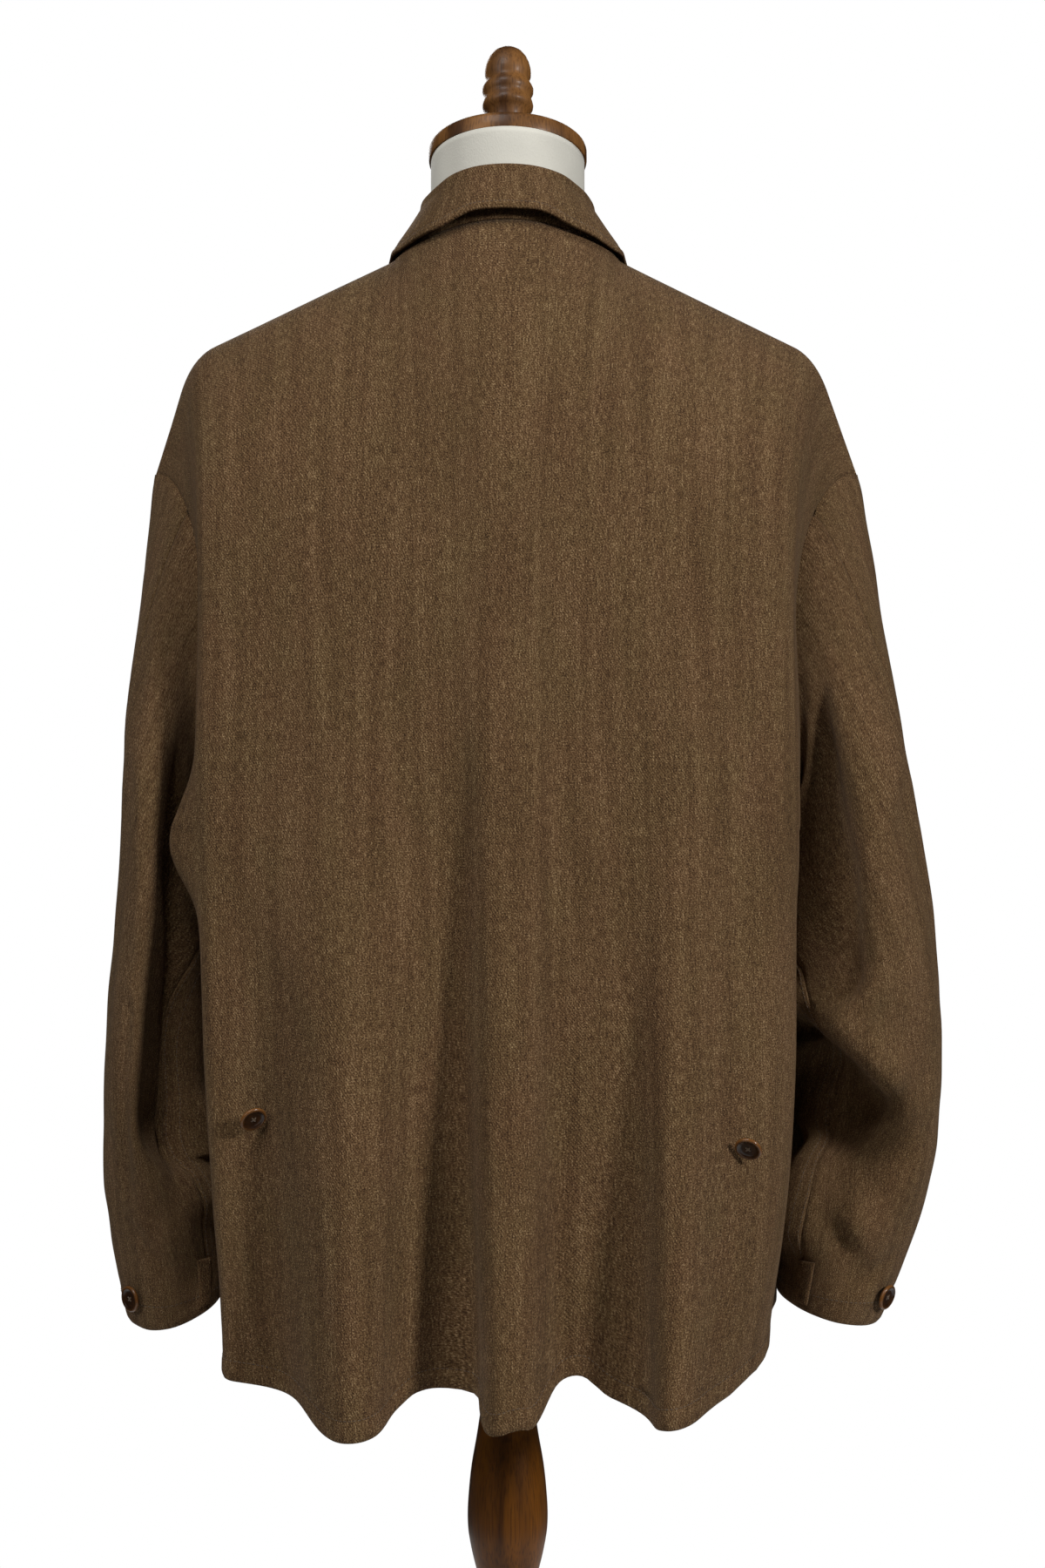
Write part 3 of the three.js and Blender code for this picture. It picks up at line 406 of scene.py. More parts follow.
def mesh_object(name: str, points: np.ndarray, faces: Sequence[Sequence[int]], finish: Finish) -> bpy.types.Object:
    """Makes a smooth shaded mesh object from points in millimetres.

    Args:
        name: The object's name.
        points: Its points.
        faces: Its faces, facing out.
        finish: Its finish.

    Returns:
        The object, linked to the scene.
    """
    mesh = bpy.data.meshes.new(name)
    mesh.from_pydata((points * MM).tolist(), [], faces)
    mesh.materials.append(finish.made())
    mesh.shade_smooth()
    made = bpy.data.objects.new(name, mesh)
    bpy.context.scene.collection.objects.link(made)
    return made


def settle(piece: bpy.types.Object, finish: Finish, *nodes: str) -> bpy.types.Object:
    """Rides a piece on the one body and the nodes it stands for."""
    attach(piece, "root")
    if nodes:
        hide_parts(*nodes)
    log.info("%s: %d faces", piece.name, len(piece.data.polygons))
    return piece


def quads(rows: int, columns: int, start: int = 0, flipped: bool = False, ring: bool = False) -> np.ndarray:
    """Faces of a grid of points.

    Args:
        rows: How many rows of points.
        columns: How many points in a row.
        start: The first point's number.
        flipped: Whether the faces turn the other way.
        ring: Whether a row's last point joins its first.

    Returns:
        One row of four point numbers for each face.
    """
    r, c = np.meshgrid(np.arange(rows - 1), np.arange(columns if ring else columns - 1), indexing="ij")
    c2 = (c + 1) % columns
    corners = [r * columns + c, r * columns + c2, (r + 1) * columns + c2, (r + 1) * columns + c]
    faces = np.stack([corner.ravel() for corner in corners], axis=1) + start
    return faces[:, ::-1] if flipped else faces


@dataclass
class ClothWall:
    """A thin closed wall of cloth over a grid of outer points, with soft rolled edges."""

    name: str
    points: np.ndarray
    outward: int
    thickness: float = 2.0
    roll: float = 0.9
    roll_width: float = 1.6
    normals: np.ndarray = field(init=False)

    def __post_init__(self) -> None:
        """Works out the outward directions."""
        across = np.gradient(self.points, axis=1)
        upward = np.gradient(self.points, axis=0)
        self.normals = unit(np.cross(across, upward)) * self.outward

    def lengths(self, axis: int) -> np.ndarray:
        """Distances along the cloth from its first row or column, point by point."""
        steps = np.linalg.norm(np.diff(self.points, axis=axis), axis=-1)
        start = np.zeros_like(np.take(steps, [0], axis=axis))
        return np.concatenate([start, np.cumsum(steps, axis=axis)], axis=axis)

    def from_edge(self) -> np.ndarray:
        """Each point's distance from the nearest edge."""
        u, v = self.lengths(1), self.lengths(0)
        sides = np.minimum(u, u[:, -1:] - u)
        return np.minimum(sides, np.minimum(v, v[-1:] - v))

    def raised(self, height: np.ndarray) -> "ClothWall":
        """The same wall with its points moved out by a height."""
        self.points = self.points + self.normals * height[..., None]
        self.__post_init__()
        return self

    def face(self, columns: np.ndarray, rows: np.ndarray) -> Surface:
        """The wall's outer face as a surface.

        Args:
            columns: The place of each column of points.
            rows: The place of each row of points.

        Returns:
            The surface, by places across and along the wall.
        """

        def at(across: np.ndarray, along: np.ndarray) -> np.ndarray:
            """The face's point at places across and along."""
            across, along = np.broadcast_arrays(np.asarray(across, float), np.asarray(along, float))
            i = np.clip(np.searchsorted(columns, across) - 1, 0, len(columns) - 2)
            j = np.clip(np.searchsorted(rows, along) - 1, 0, len(rows) - 2)
            s = (across - columns[i]) / (columns[i + 1] - columns[i])
            t = (along - rows[j]) / (rows[j + 1] - rows[j])
            p = self.points
            return lerp(lerp(p[j, i], p[j, i + 1], s), lerp(p[j + 1, i], p[j + 1, i + 1], s), t)

        return at

    def build(self, finish: Finish = Finish.SERGE) -> bpy.types.Object:
        """Makes the wall's mesh, with its own UV map in metres.

        Args:
            finish: The finish of the cloth.

        Returns:
            The new object.
        """
        rows, columns = self.points.shape[:2]
        sunk = self.roll * np.exp(-((self.from_edge() / self.roll_width) ** 2))
        outer = self.points - self.normals * sunk[..., None]
        inner = self.points - self.normals * self.thickness
        count = rows * columns
        flip = self.outward < 0
        faces = [quads(rows, columns, 0, flip), quads(rows, columns, count, not flip)]
        border = np.concatenate(
            [
                np.arange(columns),
                np.arange(1, rows) * columns + columns - 1,
                (rows - 1) * columns + np.arange(columns - 2, -1, -1),
                np.arange(rows - 2, 0, -1) * columns,
            ]
        )
        ahead = np.roll(border, -1)
        rim = np.stack([border, border + count, ahead + count, ahead], axis=1)
        faces.append(rim[:, ::-1] if flip else rim)
        points = np.concatenate([outer.reshape(-1, 3), inner.reshape(-1, 3)])
        made = mesh_object(self.name, points, np.concatenate(faces).tolist(), finish)
        middle_row, middle_column = rows // 2, columns // 2
        u = np.broadcast_to(self.lengths(1)[middle_row], (rows, columns))
        v = np.broadcast_to(self.lengths(0)[:, middle_column][:, None], (rows, columns))
        flat = np.stack([u, v], axis=-1).reshape(-1, 2) * MM
        uv = np.concatenate([flat, flat])
        layer = made.data.uv_layers.new(name="cloth")
        corner = np.empty(len(made.data.loops), int)
        made.data.loops.foreach_get("vertex_index", corner)
        layer.uv.foreach_set("vector", uv[corner].ravel())
        return made


def edged(count: int, low: float, high: float, length: float, fine: Sequence[float] = (0.8, 1.8, 3.2)) -> np.ndarray:
    """Even places between two ends, with a few close ones beside each end.

    Args:
        count: How many even steps.
        low: The first place.
        high: The last place.
        length: The real length from first to last, in millimetres.
        fine: Distances of the close places from the ends.

    Returns:
        The places in order.
    """
    even = np.linspace(0, length, count + 1)
    close = np.array(fine)
    every = np.unique(np.concatenate([even, close, length - close]))
    return low + (high - low) * every / length


# The jacket's form


@dataclass
class JacketForm:
    """The outer surfaces of the jacket's body, from its levels, sections, seams and folds."""

    cloth: float = 2.0
    layer_gap: float = 0.4
    hem: float = 721.0
    armpit: float = 1061.0
    blade: float = 1200.0
    edge_at: float = 0.74
    back_neck_at: float = 0.74 * 6 / 14
    front_edge_at: float = 0.26
    front_neck_at: float = 0.26 + 0.74 * 8 / 13
    neck_half: float = 76.0
    neck_side: float = 1450.0
    neck_back: tuple[float, float] = (62.0, 1466.0)
    neck_front: tuple[float, float] = (-78.0, 1400.0)
    armhole_depth: float = 52.0
    back_turn: float = math.radians(58)
    front_turn: float = math.radians(52)
    tuck_from: float = 26.0
    tuck_fade: float = 40.0
    corners: Table = field(
        default_factory=lambda: Table(
            "side x z endX endZ", [[-1, 213, 1384, 241, 1304], [1, 218, 1384, 243, 1304]]
        )
    )
    back: Table = field(
        default_factory=lambda: Table(
            "z middle leftX leftY rightX rightY",
            [
                [700, 136, 181, 112, 166, 118],
                [800, 131, 187, 108, 188, 111],
                [900, 126, 195, 103, 195, 104],
                [1000, 120, 199, 97, 193, 97],
                [1100, 115, 201, 91, 188, 91],
                [1200, 111, 201, 84, 186, 84],
            ],
        )
    )
    front: Table = field(
        default_factory=lambda: Table(
            "z middle leftX leftY rightX rightY",
            [
                [700, -148, 194, -94, 199, -92],
                [800, -142, 206, -88, 207, -88],
                [860, -138, 210, -85, 211, -85],
                [950, -132, 205, -82, 207, -82],
                [1061, -126, 197, -80, 196, -80],
                [1200, -118, 180, -80, 178, -80],
            ],
        )
    )
    seams: Table = field(
        default_factory=lambda: Table(
            "z leftX leftY rightX rightY",
            [
                [700, 184, 0, 175, 4],
                [800, 186, 0, 180, -2],
                [900, 188, 0, 183, -4],
                [1000, 193, 0, 187, -2],
                [1061, 205, 2, 197, 0],
                [1200, 203, 0, 192, 0],
            ],
        )
    )
    hem_line: Table = field(
        default_factory=lambda: Table(
            "across z",
            [
                [-1, 722], [-0.7, 718], [-0.6, 711.5], [-0.51, 709], [-0.42, 707], [-0.33, 704.5], [-0.25, 712.5],
                [-0.2, 725.5], [-0.14, 722], [-0.08, 709], [-0.04, 709], [0.04, 704.5], [0.07, 705.5],
                [0.105, 713.5], [0.19, 716], [0.23, 710.5], [0.275, 704.5], [0.4, 700], [0.45, 701],
                [0.52, 707], [0.6, 711.5], [0.73, 716], [1, 718],
            ],
        )
    )
    back_folds: Table = field(
        default_factory=lambda: Table(
            "topX topZ hemX spread steep depth",
            [[114, 1230, 93, 28, 2, 54], [0, 1260, -3, 20, 4, 50], [-120, 1230, -100, 25, 2, 54]],
        )
    )
    front_folds: Table = field(
        default_factory=lambda: Table(
            "topX topZ hemX spread steep depth",
            [
                [70, 1180, 84, 26, 2, 24],
                [-72, 1200, -88, 28, 2, 22],
                [136, 1100, 140, 20, 2, 12],
                [-138, 1090, -146, 20, 2, 14],
            ],
        )
    )

    def fold_height(self, folds: Table, x: np.ndarray, z: np.ndarray) -> np.ndarray:
        """How far the hanging folds stand out at each place."""
        height = np.zeros_like(x)
        for top_x, top_z, hem_x, spread, steep, depth in folds.rows:
            share = np.clip((top_z - z) / (top_z - self.hem), 0, 1)
            away = np.abs(x - mix(top_x, hem_x, share)) / spread
            height += depth * share**1.4 * np.exp(-(away**steep) / 2)
        return height

    def seam(self, sign: np.ndarray, z: np.ndarray, facing: int) -> np.ndarray:
        """The side seam and armhole line at a height, on the back or the front."""
        up = np.clip((z - self.armpit) / (self.blade - self.armpit), 0, 1)
        depth = facing * self.armhole_depth * np.sqrt(1 - (1 - up) ** 2)
        return vec(sign * self.seams.side(sign, z, "X"), self.seams.side(sign, z, "Y") + depth, z)

    def section(
        self, table: Table, facing: int, edge: float, reach: np.ndarray, share: np.ndarray, sign: np.ndarray, z: np.ndarray
    ) -> np.ndarray:
        """A cross section below the blades, with its corners rounded.

        Args:
            table: The sections of the back or the fronts.
            facing: 1 on the back and -1 on the front.
            edge: The share at which the section turns.
            reach: Half the window over which corners are rounded.
            share: 0 in the middle to 1 at the seam.
            sign: 1 on the left and -1 on the right.
            z: Height.

        Returns:
            The outer points.
        """
        total = np.zeros((*share.shape, 3))
        samples = 7
        for k in np.linspace(-1, 1, samples):
            at = share + reach * k
            turned, s = np.where(at < 0, -sign, sign), np.abs(at)
            edge_x, edge_y = table.side(turned, z, "X"), table.side(turned, z, "Y")
            inside = vec(turned * edge_x * s / edge, mix(table.read(z, "middle"), edge_y, (s / edge) ** 2), z)
            outside = lerp(vec(turned * edge_x, edge_y, z), self.seam(turned, z, facing), (s - edge) / (1 - edge))
            total += np.where((s <= edge)[..., None], inside, outside)
        return total / samples

    def shoulder(self, sign: np.ndarray, share: np.ndarray) -> np.ndarray:
        """The shoulder line, from the neck at 0 over its corner to the sleeve seam at 1."""
        row = (np.asarray(sign) > 0).astype(int)
        x, z, end_x, end_z = (self.corners.column(name)[row] for name in ("x", "z", "endX", "endZ"))
        neck, corner, end = vec(sign * self.neck_half, 0, self.neck_side), vec(sign * x, 0, z), vec(sign * end_x, 0, end_z)
        total = np.zeros((*np.shape(share), 3))
        samples = 7
        for k in np.linspace(-1, 1, samples):
            at = share + 0.07 * k
            rising = lerp(neck, corner, at / self.edge_at)
            falling = lerp(corner, end, (at - self.edge_at) / (1 - self.edge_at))
            total += np.where((at < self.edge_at)[..., None], rising, falling)
        return total / samples

    def upper_edge(
        self, sign: np.ndarray, share: np.ndarray, neck_at: float, edge: float, neck: tuple[float, float]
    ) -> np.ndarray:
        """The upper edge of the back or a front: neckline, then shoulder line."""
        inner = (share - neck_at) / (edge - neck_at) * self.edge_at
        outer = mix(self.edge_at, 1.0, (share - edge) / (1 - edge))
        over = self.shoulder(sign, np.where(share < edge, inner, outer))
        angle = np.abs(share) / neck_at * math.pi / 2
        rise = (self.neck_side - neck[1]) * np.sin(angle) ** 2
        direction = np.where(share < 0, -1, 1)
        line = vec(sign * direction * self.neck_half * np.sin(angle), neck[0] * np.cos(angle), neck[1] + rise)
        return np.where((share > neck_at)[..., None], over, line)

    def eased_edge(self, up: np.ndarray, sign: np.ndarray, share: np.ndarray, *edge: object) -> np.ndarray:
        """The upper edge as the cloth below it follows it: its corner at the neck fades downwards."""
        steps = np.linspace(-1, 1, 9)
        reach = 0.16 * (1 - up)
        return sum(self.upper_edge(sign, share + k * reach, *edge) for k in steps) / len(steps)

    def over_shoulder(self, below: np.ndarray, above: np.ndarray, up: np.ndarray, full: np.ndarray) -> np.ndarray:
        """Carries a section up and over to the upper edge on part of an ellipse."""
        turn = up * full
        forward = (1 - np.cos(turn)) / (1 - np.cos(full))
        height = np.sin(turn) / np.sin(full)
        shares = vec(forward, forward, height)
        return below + (above - below) * shares

    def row_height(self, row: np.ndarray, lowest: np.ndarray) -> np.ndarray:
        """The height of a row: 0 to 1 up to the armpit, 1 to 2 up to the blades."""
        low = mix(lowest, self.armpit, row)
        return np.where(row < 1, low, mix(self.armpit, self.blade, np.clip(row - 1, 0, 1)))

    def back_point(self, across: np.ndarray, row: np.ndarray) -> np.ndarray:
        """The back's outer face: across runs from -1 at the right seam to 1 at the left one."""
        across, row = np.broadcast_arrays(np.asarray(across, float), np.asarray(row, float))
        sign, share = np.where(across < 0, -1, 1), np.abs(across)
        z = self.row_height(row, self.hem_line.read(across, "z"))
        low = np.clip((self.blade - z) / (self.blade - self.hem), 0, 1)
        reach = np.where(sign > 0, mix(0.045, 0.03, low), mix(0.06, 0.17, low))
        at = self.section(self.back, 1, self.edge_at, reach, share, sign, z)
        inside = np.clip((1 - share) / (1 - self.edge_at), 0, 1)
        at[..., 1] += self.fold_height(self.back_folds, at[..., 0], z) * inside
        at[..., 0] += np.where(sign > 0, 19 * bell(share - 0.815, 0.03) * bell(z - 1054, 25), 0)
        up = np.clip(row - 2, 0, 1)
        above = self.eased_edge(up, sign, share, self.back_neck_at, self.edge_at, self.neck_back)
        full = mix(self.back_turn, math.pi / 2, smoothstep(share / self.back_neck_at, 0, 1))
        over = self.over_shoulder(at, above, up, full)
        return np.where((row > 2)[..., None], over, at)

    def plain_front(self, sign: int, across: np.ndarray, row: np.ndarray) -> np.ndarray:
        """A front before it is tucked under the other one."""
        across, row = np.broadcast_arrays(np.asarray(across, float), np.asarray(row, float))
        share, signs = 1 - across, np.full(across.shape, sign)
        edge = 1 - self.front_edge_at
        z = self.row_height(row, np.full_like(share, self.hem - 4))
        at = self.section(self.front, -1, edge, np.full_like(share, 0.1), share, signs, z)
        inside = np.clip(across / self.front_edge_at, 0, 1)
        at[..., 1] -= self.fold_height(self.front_folds, at[..., 0], z) * inside
        neck_share = 1 - self.front_neck_at
        above = self.upper_edge(signs, share, neck_share, edge, self.neck_front)
        full = mix(self.front_turn, math.pi / 2, smoothstep(np.abs(share) / neck_share, 0, 1))
        over = self.over_shoulder(at, above, np.clip(row - 2, 0, 1), full)
        return np.where((row > 2)[..., None], over, at)

    def front_point(self, sign: int, across: np.ndarray, row: np.ndarray) -> np.ndarray:
        """A front's outer face: across runs from 0 at the side seam to 1 in the middle and past it."""
        at = self.plain_front(sign, across, row)
        if sign > 0:
            return at
        plain: Surface = lambda a, b: self.plain_front(sign, a, np.minimum(b, 3))
        out = outward(plain, across, row, -sign)
        tucked = 1 - np.clip((np.abs(at[..., 0]) - self.tuck_from) / self.tuck_fade, 0, 1)
        return at - out * (tucked * (self.cloth + self.layer_gap))[..., None]


def outward(surface: Surface, a: np.ndarray, b: np.ndarray, sign: int, da: float = 0.01, db: float = 0.02) -> np.ndarray:
    """Outward directions of a surface at its places."""
    across = surface(a + da, b) - surface(a - da, b)
    upward = surface(a, b + db) - surface(a, b - db)
    return unit(np.cross(across, upward)) * sign


SLEEVE_RINGS = {
    LEFT: Table(
        "t outX outZ inX inZ middleY long turn",
        [
            [0, 243, 1304, 205, 1061, 0, 55, 0],
            [0.1, 251, 1250, 217, 1034, 0, 60, 0],
            [0.2, 257, 1190, 207, 1006, -2, 72, 0],
            [0.35, 261, 1100, 202, 962, -5, 80, -2],
            [0.5, 267, 1010, 201, 910, -8, 78, -4],
            [0.6, 274, 945, 202, 872, -9, 75, -4],
            [0.69, 278, 888, 212, 836, -10, 69, 0],
            [0.74, 278, 860, 200, 819, -10, 68, -1],
            [0.8, 278, 830, 193, 801, -9, 65, -1],
            [0.85, 276, 805, 191, 787, -8, 62, -2],
            [0.92, 270, 770, 190, 768, -7, 57, -1],
            [1, 260, 731, 193, 746, -5, 52, 0],
        ],
    ),
    RIGHT: Table(
        "t outX outZ inX inZ middleY long turn",
        [
            [0, 241, 1304, 203, 1061, 0, 55, 0],
            [0.1, 252, 1250, 211, 1034, 0, 62, 0],
            [0.2, 262, 1190, 200, 1006, -2, 72, 0],
            [0.35, 275, 1100, 195, 962, -4, 80, -2],
            [0.5, 291, 1010, 194, 915, -6, 78, -3],
            [0.6, 297, 945, 198, 878, -8, 74, -3],
            [0.69, 298, 889, 211, 841, -9, 70, -1],
            [0.74, 297, 860, 196, 822, -9, 68, -1],
            [0.79, 294, 835, 189, 805, -9, 66, -2],
            [0.85, 287, 804, 186, 786, -8, 62, -1],
            [0.92, 274, 767, 185, 765, -7, 57, -1],
            [1, 256, 727, 185, 742, -5, 53, 0],
        ],
    ),
}
TROUGHS = {
    LEFT: [
        [0.2, 100, 0.72, 108, 10, 5],
        [0.55, 20, 0.9, 62, 12, 3.5],
        [0.8, 150, 0.95, 120, 12, 4],
        [0.3, 250, 0.6, 290, 14, -6],
    ],
    RIGHT: [
        [0.6, 165, 0.74, 105, 25, 40],
        [0.83, 120, 0.92, 92, 9, 5],
        [0.15, 128, 0.45, 138, 14, 7],
        [0.4, 255, 0.65, 290, 14, -6],
    ],
}
CREASES = {
    LEFT: [
        [0.3, 60, 0.62, 40, 7, 1.6],
        [0.62, 90, 0.78, 60, 6, 1.8],
        [0.7, 130, 0.84, 95, 7, 2.2],
        [0.86, 70, 0.93, 110, 5, 1.5],
        [0.5, 330, 0.8, 345, 9, 2],
        [0.68, 158, 0.78, 152, 14, -9],
        [0.62, 164, 0.68, 162, 12, -12],
        [0.2, 130, 0.66, 121, 15, 27],
        [0.64, 212, 0.76, 212, 15, 7],
        [0.56, 78, 0.8, 66, 5, 2.6],
    ],
    RIGHT: [
        [0.35, 50, 0.6, 22, 8, 2.2],
        [0.55, 95, 0.66, 60, 8, 3],
        [0.78, 95, 0.86, 55, 7, 2.6],
        [0.86, 105, 0.93, 75, 5, 2],
        [0.9, 60, 0.95, 95, 5, 1.6],
        [0.5, 330, 0.8, 345, 9, 2],
        [0.66, 156, 0.84, 152, 16, -13],
        [0.48, 168, 0.67, 106, 12, 18],
        [0.41, 158, 0.63, 90, 9, -8],
        [0.12, 158, 0.42, 165, 13, -10],
        [0.16, 120, 0.46, 112, 14, 15],
        [0.8, 128, 0.88, 100, 5, 3],
    ],
}


@dataclass
class Sleeve:
    """A two-piece sleeve with its seams at the back of the arm and on the inner side."""

    form: JacketForm
    sign: int
    length: float = 600.0
    radius: float = 60.0
    twist: float = math.radians(45)
    back_seam: float = math.radians(45)
    allowance: tuple = ((0.03, 3.6), (0.004, 2.7))
    cuff_slant: dict[int, float] = field(default_factory=lambda: {LEFT: 9.0, RIGHT: 1.0})
    faces: dict[str, Surface] = field(default_factory=dict)

    @property
    def side(self) -> str:
        """left or right."""
        return "left" if self.sign > 0 else "right"

    def depth(self, troughs: Sequence[Sequence[float]], t: np.ndarray, degrees: np.ndarray) -> np.ndarray:
        """How far troughs are sunk at each place.

        Args:
            troughs: Rows of start and end places, each t and degrees, then width and depth.
            t: Share of the way from armhole to cuff.
            degrees: Angle round from the outer side over the back.

        Returns:
            The depth in millimetres.
        """
        total = np.zeros_like(t)
        for t0, turn0, t1, turn1, width, deep in troughs:
            along = (t1 - t0) * self.length
            around = math.radians(turn1 - turn0) * self.radius
            from_t = (t - t0) * self.length
            from_round = np.radians(degrees - turn0) * self.radius
            s = np.clip((from_t * along + from_round * around) / (along**2 + around**2), 0, 1)
            total += deep * bell(np.hypot(from_t - s * along, from_round - s * around), width)
        return total

    def armhole(self, angle: np.ndarray, inset: float = 0.0, sunk: float = 0.0) -> np.ndarray:
        """The armhole's loop: angle 0 at the top, then down the back and up the front.

        Args:
            angle: Angle round the armhole.
            inset: How far inside the body's edge, as a share of the panel's width.
            sunk: How far below the body's outer face, in millimetres.

        Returns:
            The loop's points.
        """
        down = np.where(angle <= math.pi, angle / math.pi, 2 - angle / math.pi)
        row = 3 - down * 2
        front: Surface = lambda a, b: self.form.front_point(self.sign, a, b)
        across, ahead = np.full_like(angle, self.sign * (1 - inset)), np.full_like(angle, inset)
        behind, before = self.form.back_point(across, row), front(ahead, row)
        if sunk:
            behind = behind - outward(self.form.back_point, across, row, -1) * sunk
            before = before - outward(front, ahead, row, -self.sign) * sunk
        return np.where((angle <= math.pi)[..., None], behind, before)

    def point(self, angle: np.ndarray, t: np.ndarray) -> np.ndarray:
        """The sleeve's outer face, by angle from the top over the back and t down to the cuff."""
        angle, t = np.broadcast_arrays(np.asarray(angle, float), np.asarray(t, float))
        angle = np.mod(angle, 2 * math.pi)
        rings = SLEEVE_RINGS[self.sign]
        place = angle - self.twist * smoothstep(t, 0.08, 0.55)
        turn = np.radians(rings.read(t, "turn"))
        degrees = np.mod(np.degrees(place), 360)
        reach = (rings.read(t, "outX") - rings.read(t, "inX")) / 2
        long = rings.read(t, "long")
        short = np.sqrt(reach**2 - (long * np.sin(turn)) ** 2) / np.cos(turn)
        across, deep = short * np.cos(place), long * np.sin(place)
        x = across * np.cos(turn) - deep * np.sin(turn)
        y = across * np.sin(turn) + deep * np.cos(turn) - self.depth(TROUGHS[self.sign], t, degrees)
        height = mix(rings.read(t, "inZ"), rings.read(t, "outZ"), (x / reach + 1) / 2)
        height -= self.cuff_slant[self.sign] * np.sin(place) * smoothstep(t, 0.85, 1)
        tube = vec(self.sign * (rings.read(t, "outX") - reach + x), rings.read(t, "middleY") + y, height)
        return lerp(self.armhole(angle), tube, smoothstep(t, 0, 0.3))

    def relief(self, angle: np.ndarray, t: np.ndarray, wall: ClothWall) -> np.ndarray:
        """Small creases and the doubled cloth of the cuff's hem."""
        degrees = np.mod(np.degrees(angle - self.twist * smoothstep(t, 0.08, 0.55)), 360)
        height = -self.depth(CREASES[self.sign], t, degrees)
        down = wall.lengths(0)
        from_cuff = down[-1:] - down
        hem = 0.7 * smoothstep(-from_cuff, -24, -20) - 0.5 * bell(from_cuff - 22, 1.4)
        soft = ripple(degrees / 24, t * 22, 5 + self.sign) * 0.7 + ripple(degrees / 60, t * 7, 9 + self.sign) * 1.2
        return height + hem + soft * smoothstep(t, 0.02, 0.15)

    def build(self) -> None:
        """Makes the top and the under sleeve."""
        first, last = self.back_seam, math.pi
        spans = {"under": (first, last, 150), "top": (last, 2 * math.pi + first, 250)}
        rows = np.concatenate([[0] * (len(self.allowance) - 1), edged(120, 0, 1, 610)])
        for part, (low, high, width) in spans.items():
            columns = edged(round(width / 5), low, high, width)
            angle, t = np.meshgrid(columns, rows)
            points = self.point(angle, t)
            for i, (inset, sunk) in enumerate(self.allowance):
                points[i] = self.armhole(np.mod(columns, 2 * math.pi), inset, sunk)
            wall = ClothWall(f"sleeve_{part}_{self.side}_cloth", points, -self.sign)
            wall.raised(self.relief(angle, t, wall))
            self.faces[part] = wall.face(columns, rows)
            piece = settle(wall.build(), Finish.SERGE, f"sleeve_{part}_{self.side}")


@dataclass
class BodyCloth:
    """The back and the two fronts."""

    form: JacketForm
    hem_fold: float = 12.0
    faces: dict[str, Surface] = field(default_factory=dict)
    troughs: Table = field(
        default_factory=lambda: Table(
            "topX topZ hemX spread steep depth",
            [
                [36, 1240, 36, 10, 2, 17],
                [56, 1200, 58, 10, 2, 9],
                [-80, 1200, -68, 13, 2, 20],
                [174, 1140, 146, 14, 2, 10],
                [-136, 960, -130, 8, 2, 3],
                [66, 1010, 60, 10, 2, 3],
            ],
        )
    )

    def relief(self, wall: ClothWall, seed: int) -> np.ndarray:
        """Soft unevenness of hanging cloth, with the doubled hem and its stitched line."""
        u, v = wall.lengths(1), wall.lengths(0)
        hanging = 1 - smoothstep(v, 300, 560)
        soft = ripple(u / 38, v / 150, seed) * 0.9 + ripple(u / 17, v / 60, seed + 1) * 0.35
        broad = ripple(u / 80, v / 240, seed + 2) * 1.6
        hem = 0.8 * smoothstep(-v, -self.hem_fold - 2, -self.hem_fold) - 0.7 * bell(v - self.hem_fold, 1.5)
        inside = smoothstep(wall.from_edge(), 2, 30)
        return (soft + broad) * (0.35 + 0.65 * hanging) * inside + hem

    def build_back(self) -> None:
        """Makes the one-piece back."""
        rows = np.concatenate([edged(70, 0, 1, 340, (0.8, 1.8, 3.2, 10.5, 12, 13.5))[:-1], np.linspace(1, 3, 85)])
        half = np.concatenate([np.linspace(0, 0.74, 72)[:-1], edged(26, 0.74, 1, 105)])
        columns = np.concatenate([-half[:0:-1], half])
        across, row = np.meshgrid(columns, rows)
        wall = ClothWall("back_cloth", self.form.back_point(across, row), -1)
        x, z = wall.points[..., 0], wall.points[..., 2]
        wall.raised(self.relief(wall, 3) - self.form.fold_height(self.troughs, x, z) * smoothstep(-z, -1300, -1200))
        self.faces["back"] = wall.face(columns, rows)
        piece = settle(wall.build(), Finish.SERGE, "back")

    def build_front(self, sign: int) -> None:
        """Makes one front, with its edge past the middle."""
        side = "left" if sign > 0 else "right"
        form = self.form
        rows = np.concatenate([edged(70, 0, 1, 340, (0.8, 1.8, 3.2, 10.5, 12, 13.5))[:-1], np.linspace(1, 3, 85)])
        columns = np.concatenate([edged(26, 0, 0.26, 105)[:-1], edged(44, 0.26, 1.1138, 232)])
        across, row = np.meshgrid(columns, rows)
        wall = ClothWall(f"front_{side}_cloth", form.front_point(sign, across, row), -sign)
        wall.raised(self.relief(wall, 21 + sign))
        self.faces[side] = wall.face(columns, rows)
        piece = settle(wall.build(), Finish.SERGE, f"front_{side}")


